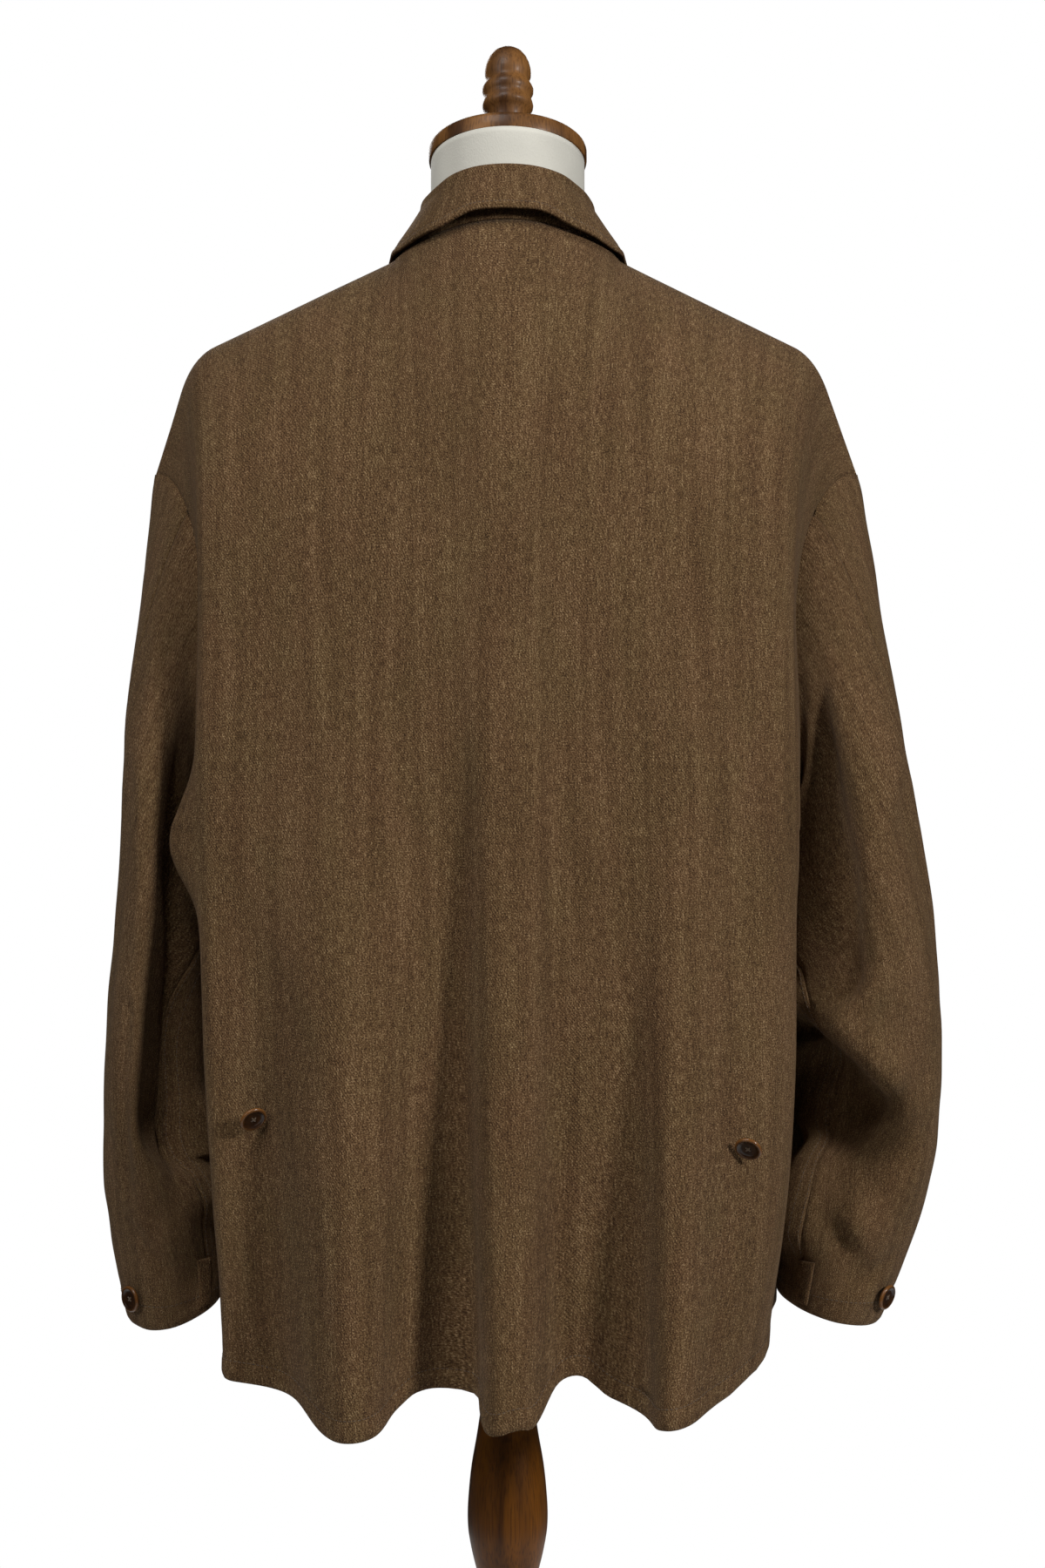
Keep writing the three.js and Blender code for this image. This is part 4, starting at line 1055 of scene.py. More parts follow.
@dataclass
class Collar:
    """The stand from the neckline up, and the fall that turns over it."""

    form: JacketForm
    axis_y: float = -4.0
    below_fold: float = 4.4
    meeting: float = 1.5
    cloth: float = 2.6
    rows: Table = field(
        default_factory=lambda: Table(
            "share drawIn rise edgeX edgeY edgeZ",
            [
                [0, 0.97, 36, 0, 73, 1471.5],
                [0.091, 0.95, 36, 24, 71, 1470],
                [0.182, 0.89, 36.5, 44, 62.5, 1462],
                [0.273, 0.81, 37, 60, 50, 1457.5],
                [0.364, 0.765, 38, 71, 34, 1454],
                [0.455, 0.745, 38.5, 79, 17, 1453],
                [0.545, 0.74, 38.5, 82, 0, 1452.5],
                [0.636, 0.76, 36, 86, -30, 1444],
                [0.727, 0.8, 32, 82, -58, 1427],
                [0.818, 0.84, 29, 68, -83, 1404],
                [0.909, 0.88, 26, 51, -97, 1383],
                [1, 0.9, 22, 36, -103, 1365],
            ],
        )
    )
    face: Surface | None = None
    fold_turn: Table = field(
        default_factory=lambda: Table(
            "step out up", [[0, -2.4, -2.6], [1, -1.9, -0.9], [2, 0.4, 0.6], [3, 3.4, -0.8], [4, 4.6, -6]]
        )
    )

    def neckline(self, share: np.ndarray, sign: np.ndarray) -> np.ndarray:
        """Points of the neckline, by share from the centre back to the centre front."""
        joint = 6 / 11
        across = np.minimum(share / joint, 1) * self.form.back_neck_at
        behind = self.form.back_point(sign * np.maximum(across, 1e-9), np.full_like(share, 3.0))
        ahead = mix(self.form.front_neck_at, 1.0, np.clip((share - joint) / (1 - joint), 0, 1))
        left = self.form.front_point(LEFT, ahead, np.full_like(share, 3.0))
        right = self.form.front_point(RIGHT, ahead, np.full_like(share, 3.0))
        before = np.where((sign > 0)[..., None], left, right)
        line = np.where((share <= joint)[..., None], behind, before)
        end = smoothstep(share, 0.97, 1.0)
        line[..., 0] = mix(line[..., 0], sign * self.meeting, end)
        return line

    def places(self, place: np.ndarray) -> tuple[np.ndarray, np.ndarray, np.ndarray, np.ndarray]:
        """Neckline, fold, outward way and fall's edge at places from -1 at the left end to 1."""
        share, sign = np.abs(place), np.where(place > 0, -1, 1)
        start = self.neckline(share, sign)
        away = start - vec(0, self.axis_y, 0)
        away[..., 2] = 0
        fold = vec(0, self.axis_y, 0) + away * self.rows.read(share, "drawIn")[..., None]
        fold[..., 2] = start[..., 2] + self.rows.read(share, "rise")
        edge = vec(sign * self.rows.read(share, "edgeX"), self.rows.read(share, "edgeY"), self.rows.read(share, "edgeZ"))
        return start, fold, unit(away), edge

    def stand_point(self, place: np.ndarray, up: np.ndarray) -> np.ndarray:
        """The stand's outer face."""
        start, fold, _, _ = self.places(place)
        top = fold - vec(0, 0, self.below_fold)
        return lerp(start, top, up)

    def fall_point(self, place: np.ndarray, step: np.ndarray) -> np.ndarray:
        """The fall's outer face, from inside over the fold and down to its edge at step 8."""
        _, fold, out, edge = self.places(place)
        turn = np.minimum(step, 4)
        at = fold + out * self.fold_turn.read(turn, "out")[..., None]
        at[..., 2] += self.fold_turn.read(turn, "up")
        return lerp(at, edge, np.clip((step - 4) / 4, 0, 1))

    def build(self) -> None:
        """Makes the stand and the fall."""
        columns = edged(150, -1, 1, 440)
        place, up = np.meshgrid(columns, edged(8, 0, 1, 34))
        stand = ClothWall("collar_stand_cloth", self.stand_point(place, up), 1, 2.0, 0.3)
        piece = settle(stand.build(), Finish.SERGE, "collar_stand")
        steps = np.concatenate([np.linspace(0, 4, 13)[:-1], edged(12, 4, 8, 36, (0.7, 1.5, 2.6, 5.2, 6, 6.8))])
        place, step = np.meshgrid(columns, steps)
        fall = ClothWall("collar_fall_cloth", self.fall_point(place, step), -1, self.cloth, 0.9, 1.3)
        down = fall.lengths(0)
        from_edge = down[-1:] - down
        waves = ripple(place * 9, from_edge / 22, 31) * 0.5
        fall.raised(-0.5 * bell(from_edge - 6, 1.2) + waves * smoothstep(from_edge, 0, 12))
        self.face = fall.face(columns, steps)
        piece = settle(fall.build(), Finish.SERGE, "collar_fall")


@dataclass
class HipPocket:
    """A patch pocket on a front with its pointed flap."""

    form: JacketForm
    sign: int
    columns: tuple[float, float] = (0.195, 0.26 + 0.74 * 8 / 13)
    rows: tuple[float, float] = (1 / 12, 5 / 12)
    belly: float = 3.0
    seat: float = 5.4 / 12
    bend: float = 5.12 / 12
    side_drop: float = 1.7 / 12
    tip_drop: float = 2.1 / 12
    clear: float = 2.8
    fall: float = 3.2
    proud: float = 2.0
    flare: float = 12.0
    flare_share: float = 0.14
    face: Surface | None = None

    @property
    def side(self) -> str:
        """left or right."""
        return "left" if self.sign > 0 else "right"

    def moved(self, share: np.ndarray, row: np.ndarray, lift: np.ndarray) -> np.ndarray:
        """The front's points under the pocket, moved out."""
        across = mix(*self.columns, share)
        surface: Surface = lambda a, b: self.form.front_point(self.sign, a, b)
        at = surface(across, row)
        return at + outward(surface, across, row, -self.sign) * np.asarray(lift)[..., None]

    def build(self) -> None:
        """Makes the bag and the flap."""
        share, up = np.meshgrid(edged(34, 0, 1, 165), edged(24, 0, 1, 115))
        full = np.sin(math.pi * share) * np.sin(math.pi * up)
        points = self.moved(share, mix(*self.rows, up), 2.4 + self.belly * full)
        bag = ClothWall(f"pocket_{self.side}_cloth", points, -self.sign)
        bag.raised(ripple(share * 6, up * 5, 41 + self.sign) * 0.6 * full)
        piece = settle(bag.build(), Finish.SERGE, f"pocket_{self.side}")
        shares, downs = edged(34, 0, 1, 168), edged(16, 1, -0.18, 70)
        share, down = np.meshgrid(shares, downs)
        hanging = np.clip(down, 0, 1)
        drop = mix(self.tip_drop, self.side_drop, np.abs(2 * share - 1)) * hanging
        seated = np.clip(-down / 0.18, 0, 1)
        row = mix(self.bend, self.seat, seated) - drop
        curl = self.flare * np.clip(1 - share / self.flare_share, 0, 1) ** 1.6
        lift = 2.6 + 0.4 + self.clear * (1 - seated) + (self.fall + self.proud * (1 - share) ** 3 + curl) * hanging
        flap = ClothWall(f"pocket_flap_{self.side}_cloth", self.moved(share, row, lift), -self.sign, 2.6)
        edge = flap.from_edge()
        flap.raised(-0.5 * bell(edge - 2.4, 0.8) - 0.5 * bell(edge - 7, 0.8))
        self.face = flap.face(shares, -downs)
        piece = settle(flap.build(), Finish.SERGE, f"pocket_flap_{self.side}")


@dataclass
class CuffPlacket:
    """The narrow strip that edges the slit of a cuff."""

    sleeve: Sleeve
    t: tuple[float, float] = (0.9, 0.985)
    behind: float = 0.19
    ahead: float = 0.05
    lift: float = 0.7

    def build(self) -> None:
        """Makes the strip from the sleeve's points moved out."""
        sign, side = self.sleeve.sign, self.sleeve.side
        columns = edged(6, math.pi - self.behind, math.pi + self.ahead, 9, (0.5, 1.2))
        angle, t = np.meshgrid(columns, edged(14, *self.t, 50))
        at = self.sleeve.point(angle, t)
        out = outward(self.sleeve.point, angle, t, -sign, 0.02, 0.01)
        wall = ClothWall(f"cuff_placket_{side}_cloth", at + out * (self.lift + 2), -sign, 2.0, 0.7, 1.0)
        piece = settle(wall.build(), Finish.SERGE, f"cuff_placket_{side}")


# Sewing


class StitchTree:
    """Geometry nodes that lay one stitch at each point, along the seam."""

    def __init__(self) -> None:
        """Builds the tree with inputs for a stitch's length and width."""
        self.tree = bpy.data.node_groups.new("stitches", "GeometryNodeTree")
        face = self.tree.interface
        face.new_socket("Geometry", in_out="INPUT", socket_type="NodeSocketGeometry")
        self.length = face.new_socket("Length", in_out="INPUT", socket_type="NodeSocketFloat").identifier
        self.width = face.new_socket("Width", in_out="INPUT", socket_type="NodeSocketFloat").identifier
        self.cloth = face.new_socket("Thread", in_out="INPUT", socket_type="NodeSocketMaterial").identifier
        face.new_socket("Geometry", in_out="OUTPUT", socket_type="NodeSocketGeometry")
        nodes, link = self.tree.nodes, self.tree.links.new
        given = nodes.new("NodeGroupInput")
        ball = nodes.new("GeometryNodeMeshUVSphere")
        ball.inputs["Segments"].default_value = 6
        ball.inputs["Rings"].default_value = 4
        ball.inputs["Radius"].default_value = 0.5
        size = nodes.new("ShaderNodeCombineXYZ")
        shaped = nodes.new("GeometryNodeTransform")
        lay = nodes.new("GeometryNodeInstanceOnPoints")
        link(given.outputs["Length"], size.inputs["X"])
        link(given.outputs["Width"], size.inputs["Y"])
        link(given.outputs["Width"], size.inputs["Z"])
        link(ball.outputs["Mesh"], shaped.inputs["Geometry"])
        link(size.outputs["Vector"], shaped.inputs["Scale"])
        link(given.outputs["Geometry"], lay.inputs["Points"])
        link(shaped.outputs["Geometry"], lay.inputs["Instance"])
        turned = None
        for name, axis, pivot in (("along", "X", "AUTO"), ("out", "Z", "X")):
            direction = nodes.new("GeometryNodeInputNamedAttribute")
            direction.data_type = "FLOAT_VECTOR"
            direction.inputs["Name"].default_value = name
            aim = nodes.new("FunctionNodeAlignRotationToVector")
            aim.axis, aim.pivot_axis = axis, pivot
            link(direction.outputs["Attribute"], aim.inputs["Vector"])
            if turned:
                link(turned, aim.inputs["Rotation"])
            turned = aim.outputs["Rotation"]
        link(turned, lay.inputs["Rotation"])
        real = nodes.new("GeometryNodeRealizeInstances")
        dressed = nodes.new("GeometryNodeSetMaterial")
        result = nodes.new("NodeGroupOutput")
        link(lay.outputs["Instances"], real.inputs["Geometry"])
        link(real.outputs["Geometry"], dressed.inputs["Geometry"])
        link(given.outputs["Thread"], dressed.inputs["Material"])
        link(dressed.outputs["Geometry"], result.inputs["Geometry"])


@dataclass
class Sewing:
    """Rows of stitches along paths on the cloth."""

    tree: StitchTree
    pitch: float = 3.0
    length: float = 2.3
    width: float = 0.55
    paths: list = field(default_factory=list)

    def along(self, surface: Surface, a: np.ndarray, b: np.ndarray, sign: int, lift: float = 0.1) -> None:
        """Adds a row of stitches along a path of places on a surface.

        Args:
            surface: The surface sewn on.
            a: Places in its first direction.
            b: Places in its second direction.
            sign: The sign that turns its normals outwards.
            lift: How far the thread stands out.
        """
        a, b = np.broadcast_arrays(np.asarray(a, float), np.asarray(b, float))
        line = surface(a, b)
        steps = np.concatenate([[0], np.cumsum(np.linalg.norm(np.diff(line, axis=0), axis=1))])
        at = np.arange(self.pitch / 2, steps[-1], self.pitch)
        a, b = np.interp(at, steps, a), np.interp(at, steps, b)
        points = surface(a, b)
        normals = outward(surface, a, b, sign, 0.004, 0.004)
        tangents = unit(np.gradient(points, axis=0))
        self.paths.append((points + normals * lift, tangents, normals))

    def build(self, name: str) -> bpy.types.Object:
        """Makes every row added so far into one plain mesh."""
        points, tangents, normals = (np.concatenate(part) for part in zip(*self.paths))
        mesh = bpy.data.meshes.new(name)
        mesh.from_pydata((points * MM).tolist(), [], [])
        for key, values in (("along", tangents), ("out", normals)):
            mesh.attributes.new(key, "FLOAT_VECTOR", "POINT").data.foreach_set("vector", values.ravel())
        made = bpy.data.objects.new(name, mesh)
        bpy.context.scene.collection.objects.link(made)
        sewn = made.modifiers.new("stitches", "NODES")
        sewn.node_group = self.tree.tree
        sewn[self.tree.length] = self.length * MM
        sewn[self.tree.width] = self.width * MM
        sewn[self.tree.cloth] = Finish.THREAD.made()
        plain = bpy.data.meshes.new_from_object(made.evaluated_get(bpy.context.evaluated_depsgraph_get()))
        made.modifiers.clear()
        made.data = plain
        plain.shade_smooth()
        return settle(made, Finish.THREAD)


# Buttons


@dataclass
class Button:
    """A four-hole button with a raised rim, sewn on by a thread shank from the cloth to its underside."""

    name: str
    at: np.ndarray
    underside: np.ndarray
    facing: np.ndarray
    radius: float = 8.7
    holes: int = 4
    hole_ring: float = 2.1
    hole_radius: float = 0.85

    def axes(self) -> np.ndarray:
        """The button's own X, Y and Z in the jacket's frame."""
        z = self.facing
        x = unit(np.cross(np.array([0, 0, 1.0]), z))
        return np.stack([x, np.cross(z, x), z])

    def profile(self) -> list[tuple[float, float, float]]:
        """Radius, height and rim share of the turned face, from the back over the rim to the middle; the rim share
        paints the rim lighter amber, partly as a painted highlight.
        """
        r, h = self.radius, 0.0
        return [
            (0.0, h, 0), (r - 2.2, h, 0), (r - 0.9, h + 0.3, 0.6), (r - 0.15, h + 1.1, 1), (r, h + 1.7, 1),
            (r - 0.2, h + 2.4, 1), (r - 0.9, h + 2.95, 0.55), (r - 1.8, h + 2.95, 0.15), (r - 2.5, h + 2.45, 0),
            (r - 3.1, h + 2.05, 0), (r - 4.5, h + 2.0, 0), (0.0, h + 2.0, 0),
        ]

    def build(self) -> None:
        """Makes the button, its thread and its shank."""
        axes = self.axes()
        segments = 48
        rows = self.profile()
        turn = np.linspace(0, 2 * math.pi, segments, endpoint=False)
        rings = [vec(r * np.cos(turn), r * np.sin(turn), h) for r, h, _ in rows[1:-1]]
        points = np.concatenate([*rings, [[0, 0, rows[0][1]]], [[0, 0, rows[-1][1]]]])
        faces = quads(len(rings), segments, 0, False, True).tolist()
        low, high = len(points) - 2, len(points) - 1
        top = (len(rings) - 1) * segments
        for i in range(segments):
            j = (i + 1) % segments
            faces += [[low, j, i], [high, top + i, top + j]]
        # The rim share, stored as the attribute edge, paints the rim lighter amber: partly the horn's colour, partly a
        # painted highlight.
        edge = [value for _, _, value in rows[1:-1] for _ in range(segments)] + [0, 0]
        piece = mesh_object(self.name + "_face", points @ axes + self.underside, faces, Finish.BUTTON)
        layer = piece.data.attributes.new("edge", "FLOAT", "POINT")
        layer.data.foreach_set("value", np.array(edge, float))
        settle(piece, Finish.BUTTON, self.name)
        self.build_thread(axes)

    def build_thread(self, axes: np.ndarray) -> None:
        """Makes two crossing bars of thread over the holes, and the shank below."""
        top = 2.0
        root = axes @ (self.at - self.underside)
        tubes = []
        for k in range(2):
            turn = math.pi / 4 + k * math.pi / 2
            end = self.hole_ring * np.array([math.cos(turn), math.sin(turn)])
            tubes.append((np.array([*-end, top]), np.array([*end, top]), 0.55))
        tubes.append((root, np.array([0, 0, 0.2]), 1.3))
        points, faces = [], []
        sides = 8
        turn = np.linspace(0, 2 * math.pi, sides, endpoint=False)
        for start, end, radius in tubes:
            along = unit(end - start)
            across = unit(np.cross(along, [0.3, 0.2, 1.0] if abs(along[2]) < 0.9 else [1.0, 0, 0]))
            other = np.cross(along, across)
            base = len(points)
            for share, size in ((0.0, 0.55), (0.12, 1.0), (0.88, 1.0), (1.0, 0.55)):
                centre = mix(start, end, share)
                points += list(centre + radius * size * (np.cos(turn)[:, None] * across + np.sin(turn)[:, None] * other))
            faces += quads(4, sides, base, False, True).tolist()
            faces += [list(range(base + sides - 1, base - 1, -1)), list(range(base + 3 * sides, base + 4 * sides))]
        piece = mesh_object(self.name + "_thread", np.array(points) @ axes + self.underside, faces, Finish.THREAD)
        settle(piece, Finish.THREAD)


@dataclass
class ButtonSet:
    """All the jacket's buttons, each at a place on its cloth."""

    body: BodyCloth
    sleeves: dict[int, Sleeve]
    shank: float = 2.2
    clear: float = 1.6
    front_heights: np.ndarray = field(default_factory=lambda: np.linspace(1374, 822, 5))
    back_places: Sequence[tuple[float, float, tuple[float, float, float]]] = (
        (0.607, 884, (-0.45, 0.75, -0.49)),
        (-0.566, 867, (0.3, 0.79, -0.53)),
    )
    cuff_t: float = 0.955
    cuff_degrees: dict[int, float] = field(default_factory=lambda: {LEFT: 56, RIGHT: 52})

    def row_at(self, surface: Surface, across: float, z: float) -> float:
        """The row at which a column of the body passes a height."""
        low, high = 0.0, 3.0
        for _ in range(30):
            middle = (low + high) / 2
            if surface(np.array(across), np.array(middle))[2] < z:
                low = middle
            else:
                high = middle
        return low

    def sew(self, name: str, surface: Surface, a: float, b: float, sign: int, facing: object = None) -> None:
        """Sews one button on, level with the cloth or drooping to face another way.

        Args:
            name: The button's node.
            surface: The cloth's outer face.
            a: The place in its first direction.
            b: The place in its second direction.
            sign: The sign that turns its normals outwards.
            facing: Where a drooping button's face looks; it stands off until its rim is clear.
        """
        a, b = np.array(a), np.array(b)
        at, out = surface(a, b), outward(surface, a, b, sign, 0.01, 0.01)
        way = out if facing is None else unit(np.array(facing))
        leaning = math.sqrt(max(0.0, 1 - float(out @ way) ** 2))
        stand = self.shank if facing is None else self.clear + Button.radius * leaning
        Button(name, at, at + out * stand, way).build()

    def build(self) -> None:
        """Makes the front, back and cuff buttons."""
        left, back = self.body.faces["left"], self.body.faces["back"]
        for i, z in enumerate(self.front_heights):
            self.sew(f"button_front_{i + 1}", left, 1.0, self.row_at(left, 1.0, z), -1)
        for across, z, facing in self.back_places:
            side = "left" if across > 0 else "right"
            row = self.row_at(back, across, z)
            self.sew(f"button_back_{side}", back, across, row, -1, facing)
        for sign, sleeve in self.sleeves.items():
            angle = math.radians(self.cuff_degrees[sign]) + sleeve.twist
            self.sew(f"button_cuff_{sleeve.side}", sleeve.faces["under"], angle, self.cuff_t, -sign)


# Dress form and stand


@dataclass
class DressForm:
    """The limbless form under the jacket, its neck cap and finial."""

    form: JacketForm
    bottom: float = 780.0
    clearance: float = 0.5
    neck_radius: tuple[float, float] = (53.0, 54.5)
    tilt: float = math.radians(12)
    top_y: float = -4.0
    top_z: float = 1518.5
    neck_at: float = 4 / 7
    neck_base: tuple[float, float, float, float, float, float] = (60, 56, 54, 1452, 1453, 1428)
    sections: Table = field(
        default_factory=lambda: Table(
            "z half back front",
            [
                [780, 146, 84, 84],
                [800, 153, 91, 88],
                [860, 160, 100, 94],
                [950, 152, 95, 93],
                [1020, 144, 88, 94],
                [1100, 150, 92, 100],
                [1200, 168, 96, 104],
            ],
        )
    )

    def shoulder(self, sign: np.ndarray, share: np.ndarray) -> np.ndarray:
        """The form's shoulder line, inside the jacket's."""
        at = self.form.shoulder(sign, share * 0.86)
        along = unit(self.form.shoulder(sign, share * 0.86 + 0.02) - at)
        inward = vec(along[..., 2], 0, -along[..., 0] * sign) * np.where(sign > 0, 1, 1)[..., None]
        inward = np.where((inward[..., 2] > 0)[..., None], -inward, inward)
        inward[..., 0] = -sign * np.abs(inward[..., 0])
        return at + inward * (self.form.cloth + self.clearance)

    def point(self, turn: np.ndarray, up: np.ndarray) -> np.ndarray:
        """The torso's face, by turn from the middle back over the left side and up from its bottom."""
        turn = np.mod(turn, 2 * math.pi)
        sign = np.where(turn <= math.pi, 1, -1)
        facing = np.where((turn < math.pi / 2) | (turn > 3 * math.pi / 2), 1, -1)
        folded = np.where(turn <= math.pi, turn, 2 * math.pi - turn)
        share = np.where(folded <= math.pi / 2, folded, math.pi - folded) / (math.pi / 2)
        z = np.where(up <= 1, mix(self.bottom, self.form.blade, up), self.form.blade)
        angle = share * math.pi / 2
        deep = np.where(facing > 0, self.sections.read(z, "back"), self.sections.read(z, "front"))
        half = self.sections.read(z, "half")
        below = vec(sign * half * np.sin(angle) ** 0.86, facing * deep * np.abs(np.cos(angle)) ** 0.86, z)
        half_neck, back, front, back_z, side_z, front_z = self.neck_base
        round_neck = np.clip(share / self.neck_at, 0, 1) * math.pi / 2
        middle_z = np.where(facing > 0, back_z, front_z)
        deep_neck = np.where(facing > 0, back, front)
        neck = vec(
            sign * half_neck * np.sin(round_neck),
            facing * deep_neck * np.cos(round_neck),
            mix(middle_z, side_z, np.sin(round_neck) ** 2),
        )
        over = self.shoulder(sign, np.clip((share - self.neck_at) / (1 - self.neck_at), 0, 1))
        above = np.where((share <= self.neck_at)[..., None], neck, over)
        full = mix(self.form.back_turn, math.pi / 2, smoothstep(share / self.neck_at, 0, 1))
        high = np.clip(up - 1, 0, 1)
        at = self.form.over_shoulder(below, above, high, full)
        at[..., 0] = mix(below[..., 0], above[..., 0], np.sin(high * math.pi / 2))
        return np.where((up <= 1)[..., None], below, at)

    def build_torso(self) -> None:
        """Makes the torso up to the shoulders."""
        turns = np.linspace(0, 2 * math.pi, 160, endpoint=False)
        levels = np.concatenate([np.linspace(0, 1, 60), 1 + np.sin(np.linspace(0, math.pi / 2, 40))[1:]])
        turn, up = np.meshgrid(turns, levels)
        grid = self.point(turn, up)
        count, columns = grid.shape[:2]
        bottom = np.array([[0, 0, self.bottom]])
        top = np.array([[0, 0, 1440.0]])
        faces = quads(count, columns, 0, True, True).tolist()
        points = np.concatenate([grid.reshape(-1, 3), bottom, top])
        low, high = len(points) - 2, len(points) - 1
        last = (count - 1) * columns
        for i in range(columns):
            j = (i + 1) % columns
            faces += [[low, i, j], [high, last + j, last + i]]
        piece = mesh_object("form_torso_cover", points, faces, Finish.COVER)
        settle(piece, Finish.COVER, "form_torso")

    def build_neck(self) -> None:
        """Makes the neck, from inside the collar up to the tilted cap."""
        turns = np.linspace(0, 2 * math.pi, 120, endpoint=False)
        turn, up = np.meshgrid(turns, np.linspace(0, 1, 24))
        half_neck, back, front, back_z, side_z, front_z = self.neck_base
        deep = np.where(np.cos(turn) > 0, back, front)
        base_z = mix(np.where(np.cos(turn) > 0, back_z, front_z), side_z, np.sin(turn) ** 2) - 6
        base = vec(half_neck * np.sin(turn), deep * np.cos(turn), base_z)
        rim_y = self.neck_radius[1] * np.cos(turn) + mix(0, self.top_y, up)
        rim = vec(self.neck_radius[0] * np.sin(turn), rim_y, 0)
        at = lerp(base, rim, smoothstep(up, 0, 0.35))
        at[..., 2] = mix(base_z, self.top_z + (rim_y - self.top_y) * math.tan(self.tilt), up)
        count, columns = at.shape[:2]
        points = np.concatenate([at.reshape(-1, 3), [[0, 0, 1430.0]], [[0, self.top_y, self.top_z]]])
        faces = quads(count, columns, 0, True, True).tolist()
        low, high = len(points) - 2, len(points) - 1
        last = (count - 1) * columns
        for i in range(columns):
            j = (i + 1) % columns
            faces += [[low, i, j], [high, last + j, last + i]]
        settle(mesh_object("form_neck_cover", points, faces, Finish.COVER), Finish.COVER)

    def tilted(self, points: np.ndarray) -> np.ndarray:
        """Points of the cap or the finial, turned and set on the neck."""
        c, s = math.cos(self.tilt), math.sin(self.tilt)
        y, z = points[..., 1] * c - points[..., 2] * s, points[..., 1] * s + points[..., 2] * c
        return vec(points[..., 0], y + self.top_y, z + self.top_z)

    def build(self) -> None:
        """Makes the whole form."""
        self.build_torso()
        self.build_neck()
        cap = [(0, 0.3), (53.2, 0.3), (54.3, 0.9), (54.6, 2.2), (54.6, 8.6), (54, 10.4), (52.6, 11.8), (50, 12.6), (40, 13.1), (0, 13.3)]
        Turning("neck_cap", cap, Finish.CAP_WOOD, self.tilted).build()
        finial = [
            (0, 13.6), (16.6, 13.6), (17.2, 14.4), (17, 16), (15.6, 18), (14.4, 19.4), (12.6, 23), (12, 28), (12.4, 33),
            (13.6, 37.4), (15.6, 40.2), (17.4, 42), (17.7, 44), (17.2, 46.4), (16.3, 48.6), (16.2, 50.6), (16.8, 52.2),
            (17.7, 54), (17.8, 56.4), (17, 58.4), (15.4, 61), (15, 62.6), (15.3, 64.4), (16, 66.4), (16.1, 69),
            (15.9, 72), (14.9, 76), (13.2, 80), (10.6, 83.6), (7, 86.2), (3.4, 87.4), (0, 87.7),
        ]
        Turning("finial", finial, Finish.CAP_WOOD, self.tilted).build()


@dataclass
class Turning:
    """A turned wooden piece from radius and height pairs, lowest first."""

    node: str
    profile: Sequence[tuple[float, float]]
    finish: Finish
    placed: Callable[[np.ndarray], np.ndarray] = lambda points: points
    segments: int = 72

    def build(self) -> None:
        """Makes the turned solid, smoothed between its profile's points."""
        radius = np.array([row[0] for row in self.profile[1:-1]], float)
        height = np.array([row[1] for row in self.profile[1:-1]], float)
        turn = np.linspace(0, 2 * math.pi, self.segments, endpoint=False)
        rings = vec(radius[:, None] * np.cos(turn), radius[:, None] * np.sin(turn), height[:, None])
        ends = np.array([[0, 0, self.profile[0][1]], [0, 0, self.profile[-1][1]]], float)
        points = self.placed(np.concatenate([rings.reshape(-1, 3), ends]))
        faces = quads(len(radius), self.segments, 0, False, True).tolist()
        low, high = len(points) - 2, len(points) - 1
        last = (len(radius) - 1) * self.segments
        for i in range(self.segments):
            j = (i + 1) % self.segments
            faces += [[low, j, i], [high, last + i, last + j]]
        piece = mesh_object(self.node + "_wood", points, faces, self.finish)
        piece.data.set_sharp_from_angle(angle=math.radians(40))
        settle(piece, self.finish, self.node)


@dataclass
class Stand:
    """The turned pole and its round foot."""

    form_bottom: float = 780.0
    foot_top: float = 40.0
    pole_steps: int = 6
    pole: Table = field(
        default_factory=lambda: Table(
            "z radius",
            [
                [40.3, 30], [52, 31], [60, 26], [66, 22], [110, 19], [330, 22], [470, 18], [480, 21], [486, 24], [494, 24],
                [500, 20], [512, 13], [530, 14], [552, 21.7], [575, 26.7], [588, 27.6], [604, 26.8], [623, 24.8],
                [646, 20.8], [676, 17], [730, 16], [750, 18], [768, 24], [779.7, 24],
            ],
        )
    )

    def build(self) -> None:
        """Makes the pole and the foot."""
        key = self.pole.column("z")
        z = np.unique(np.concatenate([np.linspace(a, b, self.pole_steps) for a, b in zip(key[:-1], key[1:])]))
        radius = self.pole.read(z, "radius")
        profile = [(0, key[0]), *zip(radius.tolist(), z.tolist()), (0, key[-1])]
        Turning("stand_pole", profile, Finish.STAND_WOOD).build()
        foot = [
            (0, 0), (188, 0), (190.6, 1.2), (192, 4), (192, 14), (191, 17.4), (187.6, 21.6), (184, 24), (160, 26.4),
            (120, 29), (80, 31.2), (60, 32.6), (48, 34), (40, 35.6), (36, 37.8), (34, 40), (0, 40),
        ]
        Turning("stand_foot", foot, Finish.STAND_WOOD, segments=120).build()


# Camera, floor and light


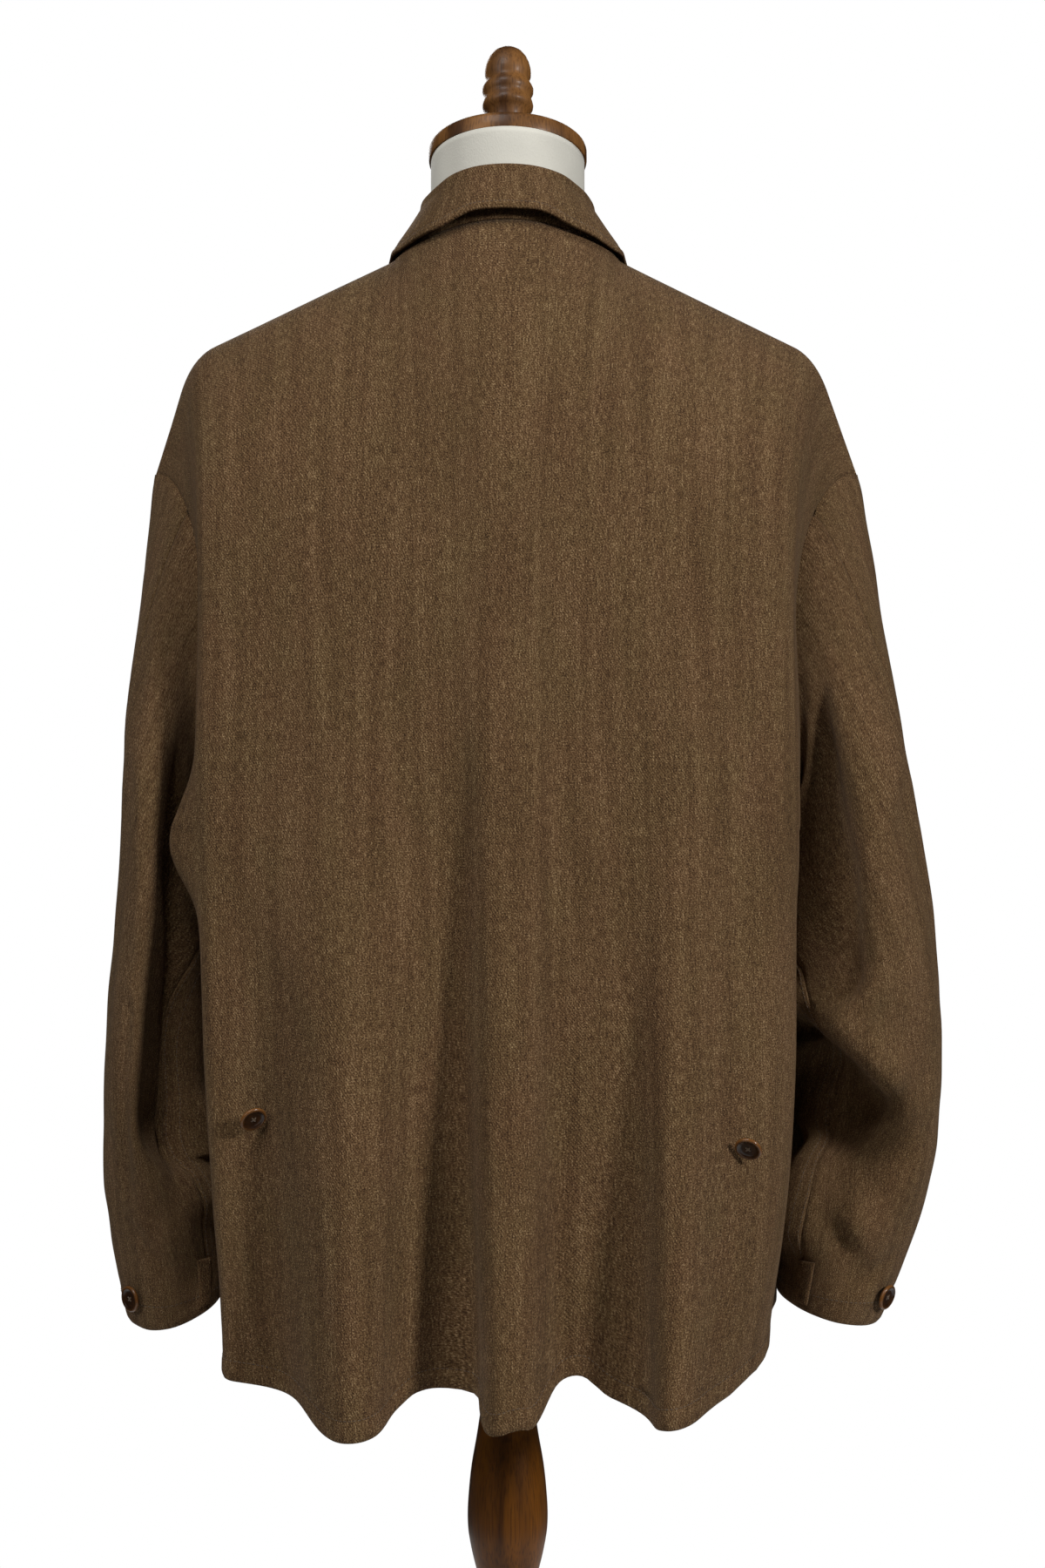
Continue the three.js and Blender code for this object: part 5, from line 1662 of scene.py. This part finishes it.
@dataclass
class Studio:
    """A white background, a pale floor and soft light, seen at the height of the jacket's blades."""

    eye: tuple[float, float, float] = (-10.2, 1440.0, 1139.0)
    focal_px: float = 2400.0
    horizon_px: float = 820.0
    axis_px: float = 583.0
    floor_radius: float = 1250.0

    def camera(self) -> None:
        """Makes the camera with the photograph's frame."""
        data = bpy.data.cameras.new("camera")
        data.sensor_fit = "VERTICAL"
        data.sensor_height = 36
        data.lens = self.focal_px / 1800 * 36
        data.shift_y = -(900 - self.horizon_px) / 1800
        data.clip_end = 20
        made = bpy.data.objects.new("camera", data)
        made.location = [value * MM for value in self.eye]
        made.rotation_euler = (math.pi / 2, 0, math.pi)
        bpy.context.scene.collection.objects.link(made)
        bpy.context.scene.camera = made

    def lamp(self, name: str, place: Sequence[float], aim: Sequence[float], size: float, power: float) -> None:
        """Adds one square soft lamp, with sizes in metres."""
        data = bpy.data.lights.new(name, "AREA")
        data.size, data.energy = size, power
        made = bpy.data.objects.new(name, data)
        made.location = place
        way = np.array(aim, float) - np.array(place, float)
        flat = math.hypot(way[0], way[1])
        made.rotation_euler = (math.atan2(flat, -way[2]), 0, math.atan2(way[1], way[0]) - math.pi / 2)
        bpy.context.scene.collection.objects.link(made)

    def world(self) -> None:
        """A white surround that lights the shade less than it shows."""
        world = bpy.data.worlds.new("surround")
        world.use_nodes = True
        bpy.context.scene.world = world
        tree = world.node_tree
        ground = tree.nodes["Background"]
        ground.inputs["Color"].default_value = (1, 1, 1, 1)
        seen = tree.nodes.new("ShaderNodeLightPath")
        strength = tree.nodes.new("ShaderNodeMapRange")
        strength.inputs["To Min"].default_value = 0.02
        strength.inputs["To Max"].default_value = 1.0
        tree.links.new(seen.outputs["Is Camera Ray"], strength.inputs["Value"])
        tree.links.new(strength.outputs[0], ground.inputs["Strength"])

    def floor(self) -> None:
        """A pale round floor under the stand."""
        shader = Shader("mat_floor")
        place = shader.node("ShaderNodeTexCoord").outputs["Object"]
        cloudy = shader.noise(place, 3, 2)
        shader.dress(Base_Color=shader.ramp(cloudy, [(0.3, (0.8, 0.8, 0.79)), (0.7, (0.84, 0.84, 0.83))]), Roughness=0.7)
        turn = np.linspace(0, 2 * math.pi, 96, endpoint=False)
        points = vec(self.floor_radius * np.cos(turn), self.floor_radius * np.sin(turn), 0) * MM
        mesh = bpy.data.meshes.new("floor")
        mesh.from_pydata(points.tolist(), [], [list(range(len(turn)))])
        mesh.materials.append(shader.material)
        made = bpy.data.objects.new("floor", mesh)
        bpy.context.scene.collection.objects.link(made)

    def build(self) -> None:
        """Makes camera, world, floor and lamps."""
        self.camera()
        self.world()
        self.floor()
        self.lamp("lamp_right", (-2.15, 1.85, 2.1), (0, 0, 1.15), 0.5, 66)
        self.lamp("lamp_left", (2.0, 2.0, 2.3), (0, 0, 1.15), 1.0, 23)
        self.lamp("lamp_over", (0.6, 1.3, 3.1), (0, 0, 1.3), 0.9, 31)
        self.lamp("lamp_front", (0.4, -2.6, 2.3), (0, 0, 1.1), 1.6, 60)
        bpy.context.scene.view_settings.view_transform = "Standard"


def sew_all(body: BodyCloth, sleeves: dict[int, Sleeve], pockets: dict[int, HipPocket], collar: Collar) -> None:
    """Sews the hems, the sleeves' seams, the flaps and the collar's edge.

    Args:
        body: The back and the fronts.
        sleeves: The sleeves by side.
        pockets: The pockets by side.
        collar: The collar.
    """
    tree = StitchTree()
    hems = Sewing(tree)
    across = np.linspace(-0.995, 0.995, 300)
    hems.along(body.faces["back"], across, np.full_like(across, 12.5 / 340), -1)
    for sign, side in ((LEFT, "left"), (RIGHT, "right")):
        across = np.linspace(0.01, 1.105, 150)
        hems.along(body.faces[side], across, np.full_like(across, 12.5 / 344), -sign)
        rows = np.linspace(0.02, 2.96, 240)
        hems.along(body.faces[side], np.full_like(rows, 1.085), rows, -sign)
    hems.build("hem_stitches")
    arms = Sewing(tree, 3.2)
    rows = np.linspace(0.03, 0.9, 180)
    for sign, sleeve in sleeves.items():
        for offset in (0.03, 0.13):
            arms.along(sleeve.faces["top"], np.full_like(rows, math.pi + offset), rows, -sign)
        for part, low, high in (("under", sleeve.back_seam, math.pi), ("top", math.pi, 2 * math.pi + sleeve.back_seam)):
            turns = np.linspace(low + 0.01, high - 0.01, 90)
            arms.along(sleeve.faces[part], turns, np.full_like(turns, 0.963), -sign)
    arms.build("sleeve_stitches")
    flaps = Sewing(tree, 2.8, 2.1, 0.5)
    for sign, pocket in pockets.items():
        for inset in (2.4, 7.0):
            near = inset / 168
            low = -1 + inset / 59
            ends, sides = np.linspace(near, 1 - near, 60), np.linspace(low, -0.05, 24)
            flaps.along(pocket.face, ends, np.full_like(ends, low), -sign)
            for share in (near, 1 - near):
                flaps.along(pocket.face, np.full_like(sides, share), sides, -sign)
    flaps.build("flap_stitches")
    neck = Sewing(tree, 2.8, 2.1, 0.5)
    places = np.linspace(-0.985, 0.985, 300)
    neck.along(collar.face, places, np.full_like(places, 8 - 0.67), -1)
    neck.build("collar_stitches")


def main() -> None:
    """Builds every piece in order."""
    logging.basicConfig(level=logging.INFO, format="%(name)s %(message)s")
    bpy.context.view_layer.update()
    Studio().build()
    form = JacketForm()
    DressForm(form).build()
    Stand().build()
    body = BodyCloth(form)
    body.build_back()
    sleeves = {sign: Sleeve(form, sign) for sign in (LEFT, RIGHT)}
    pockets = {sign: HipPocket(form, sign) for sign in (LEFT, RIGHT)}
    for sign, sleeve in sleeves.items():
        body.build_front(sign)
        sleeve.build()
        pockets[sign].build()
        CuffPlacket(sleeve).build()
    collar = Collar(form)
    collar.build()
    ButtonSet(body, sleeves).build()
    sew_all(body, sleeves, pockets, collar)


if __name__ == "__main__":
    main()
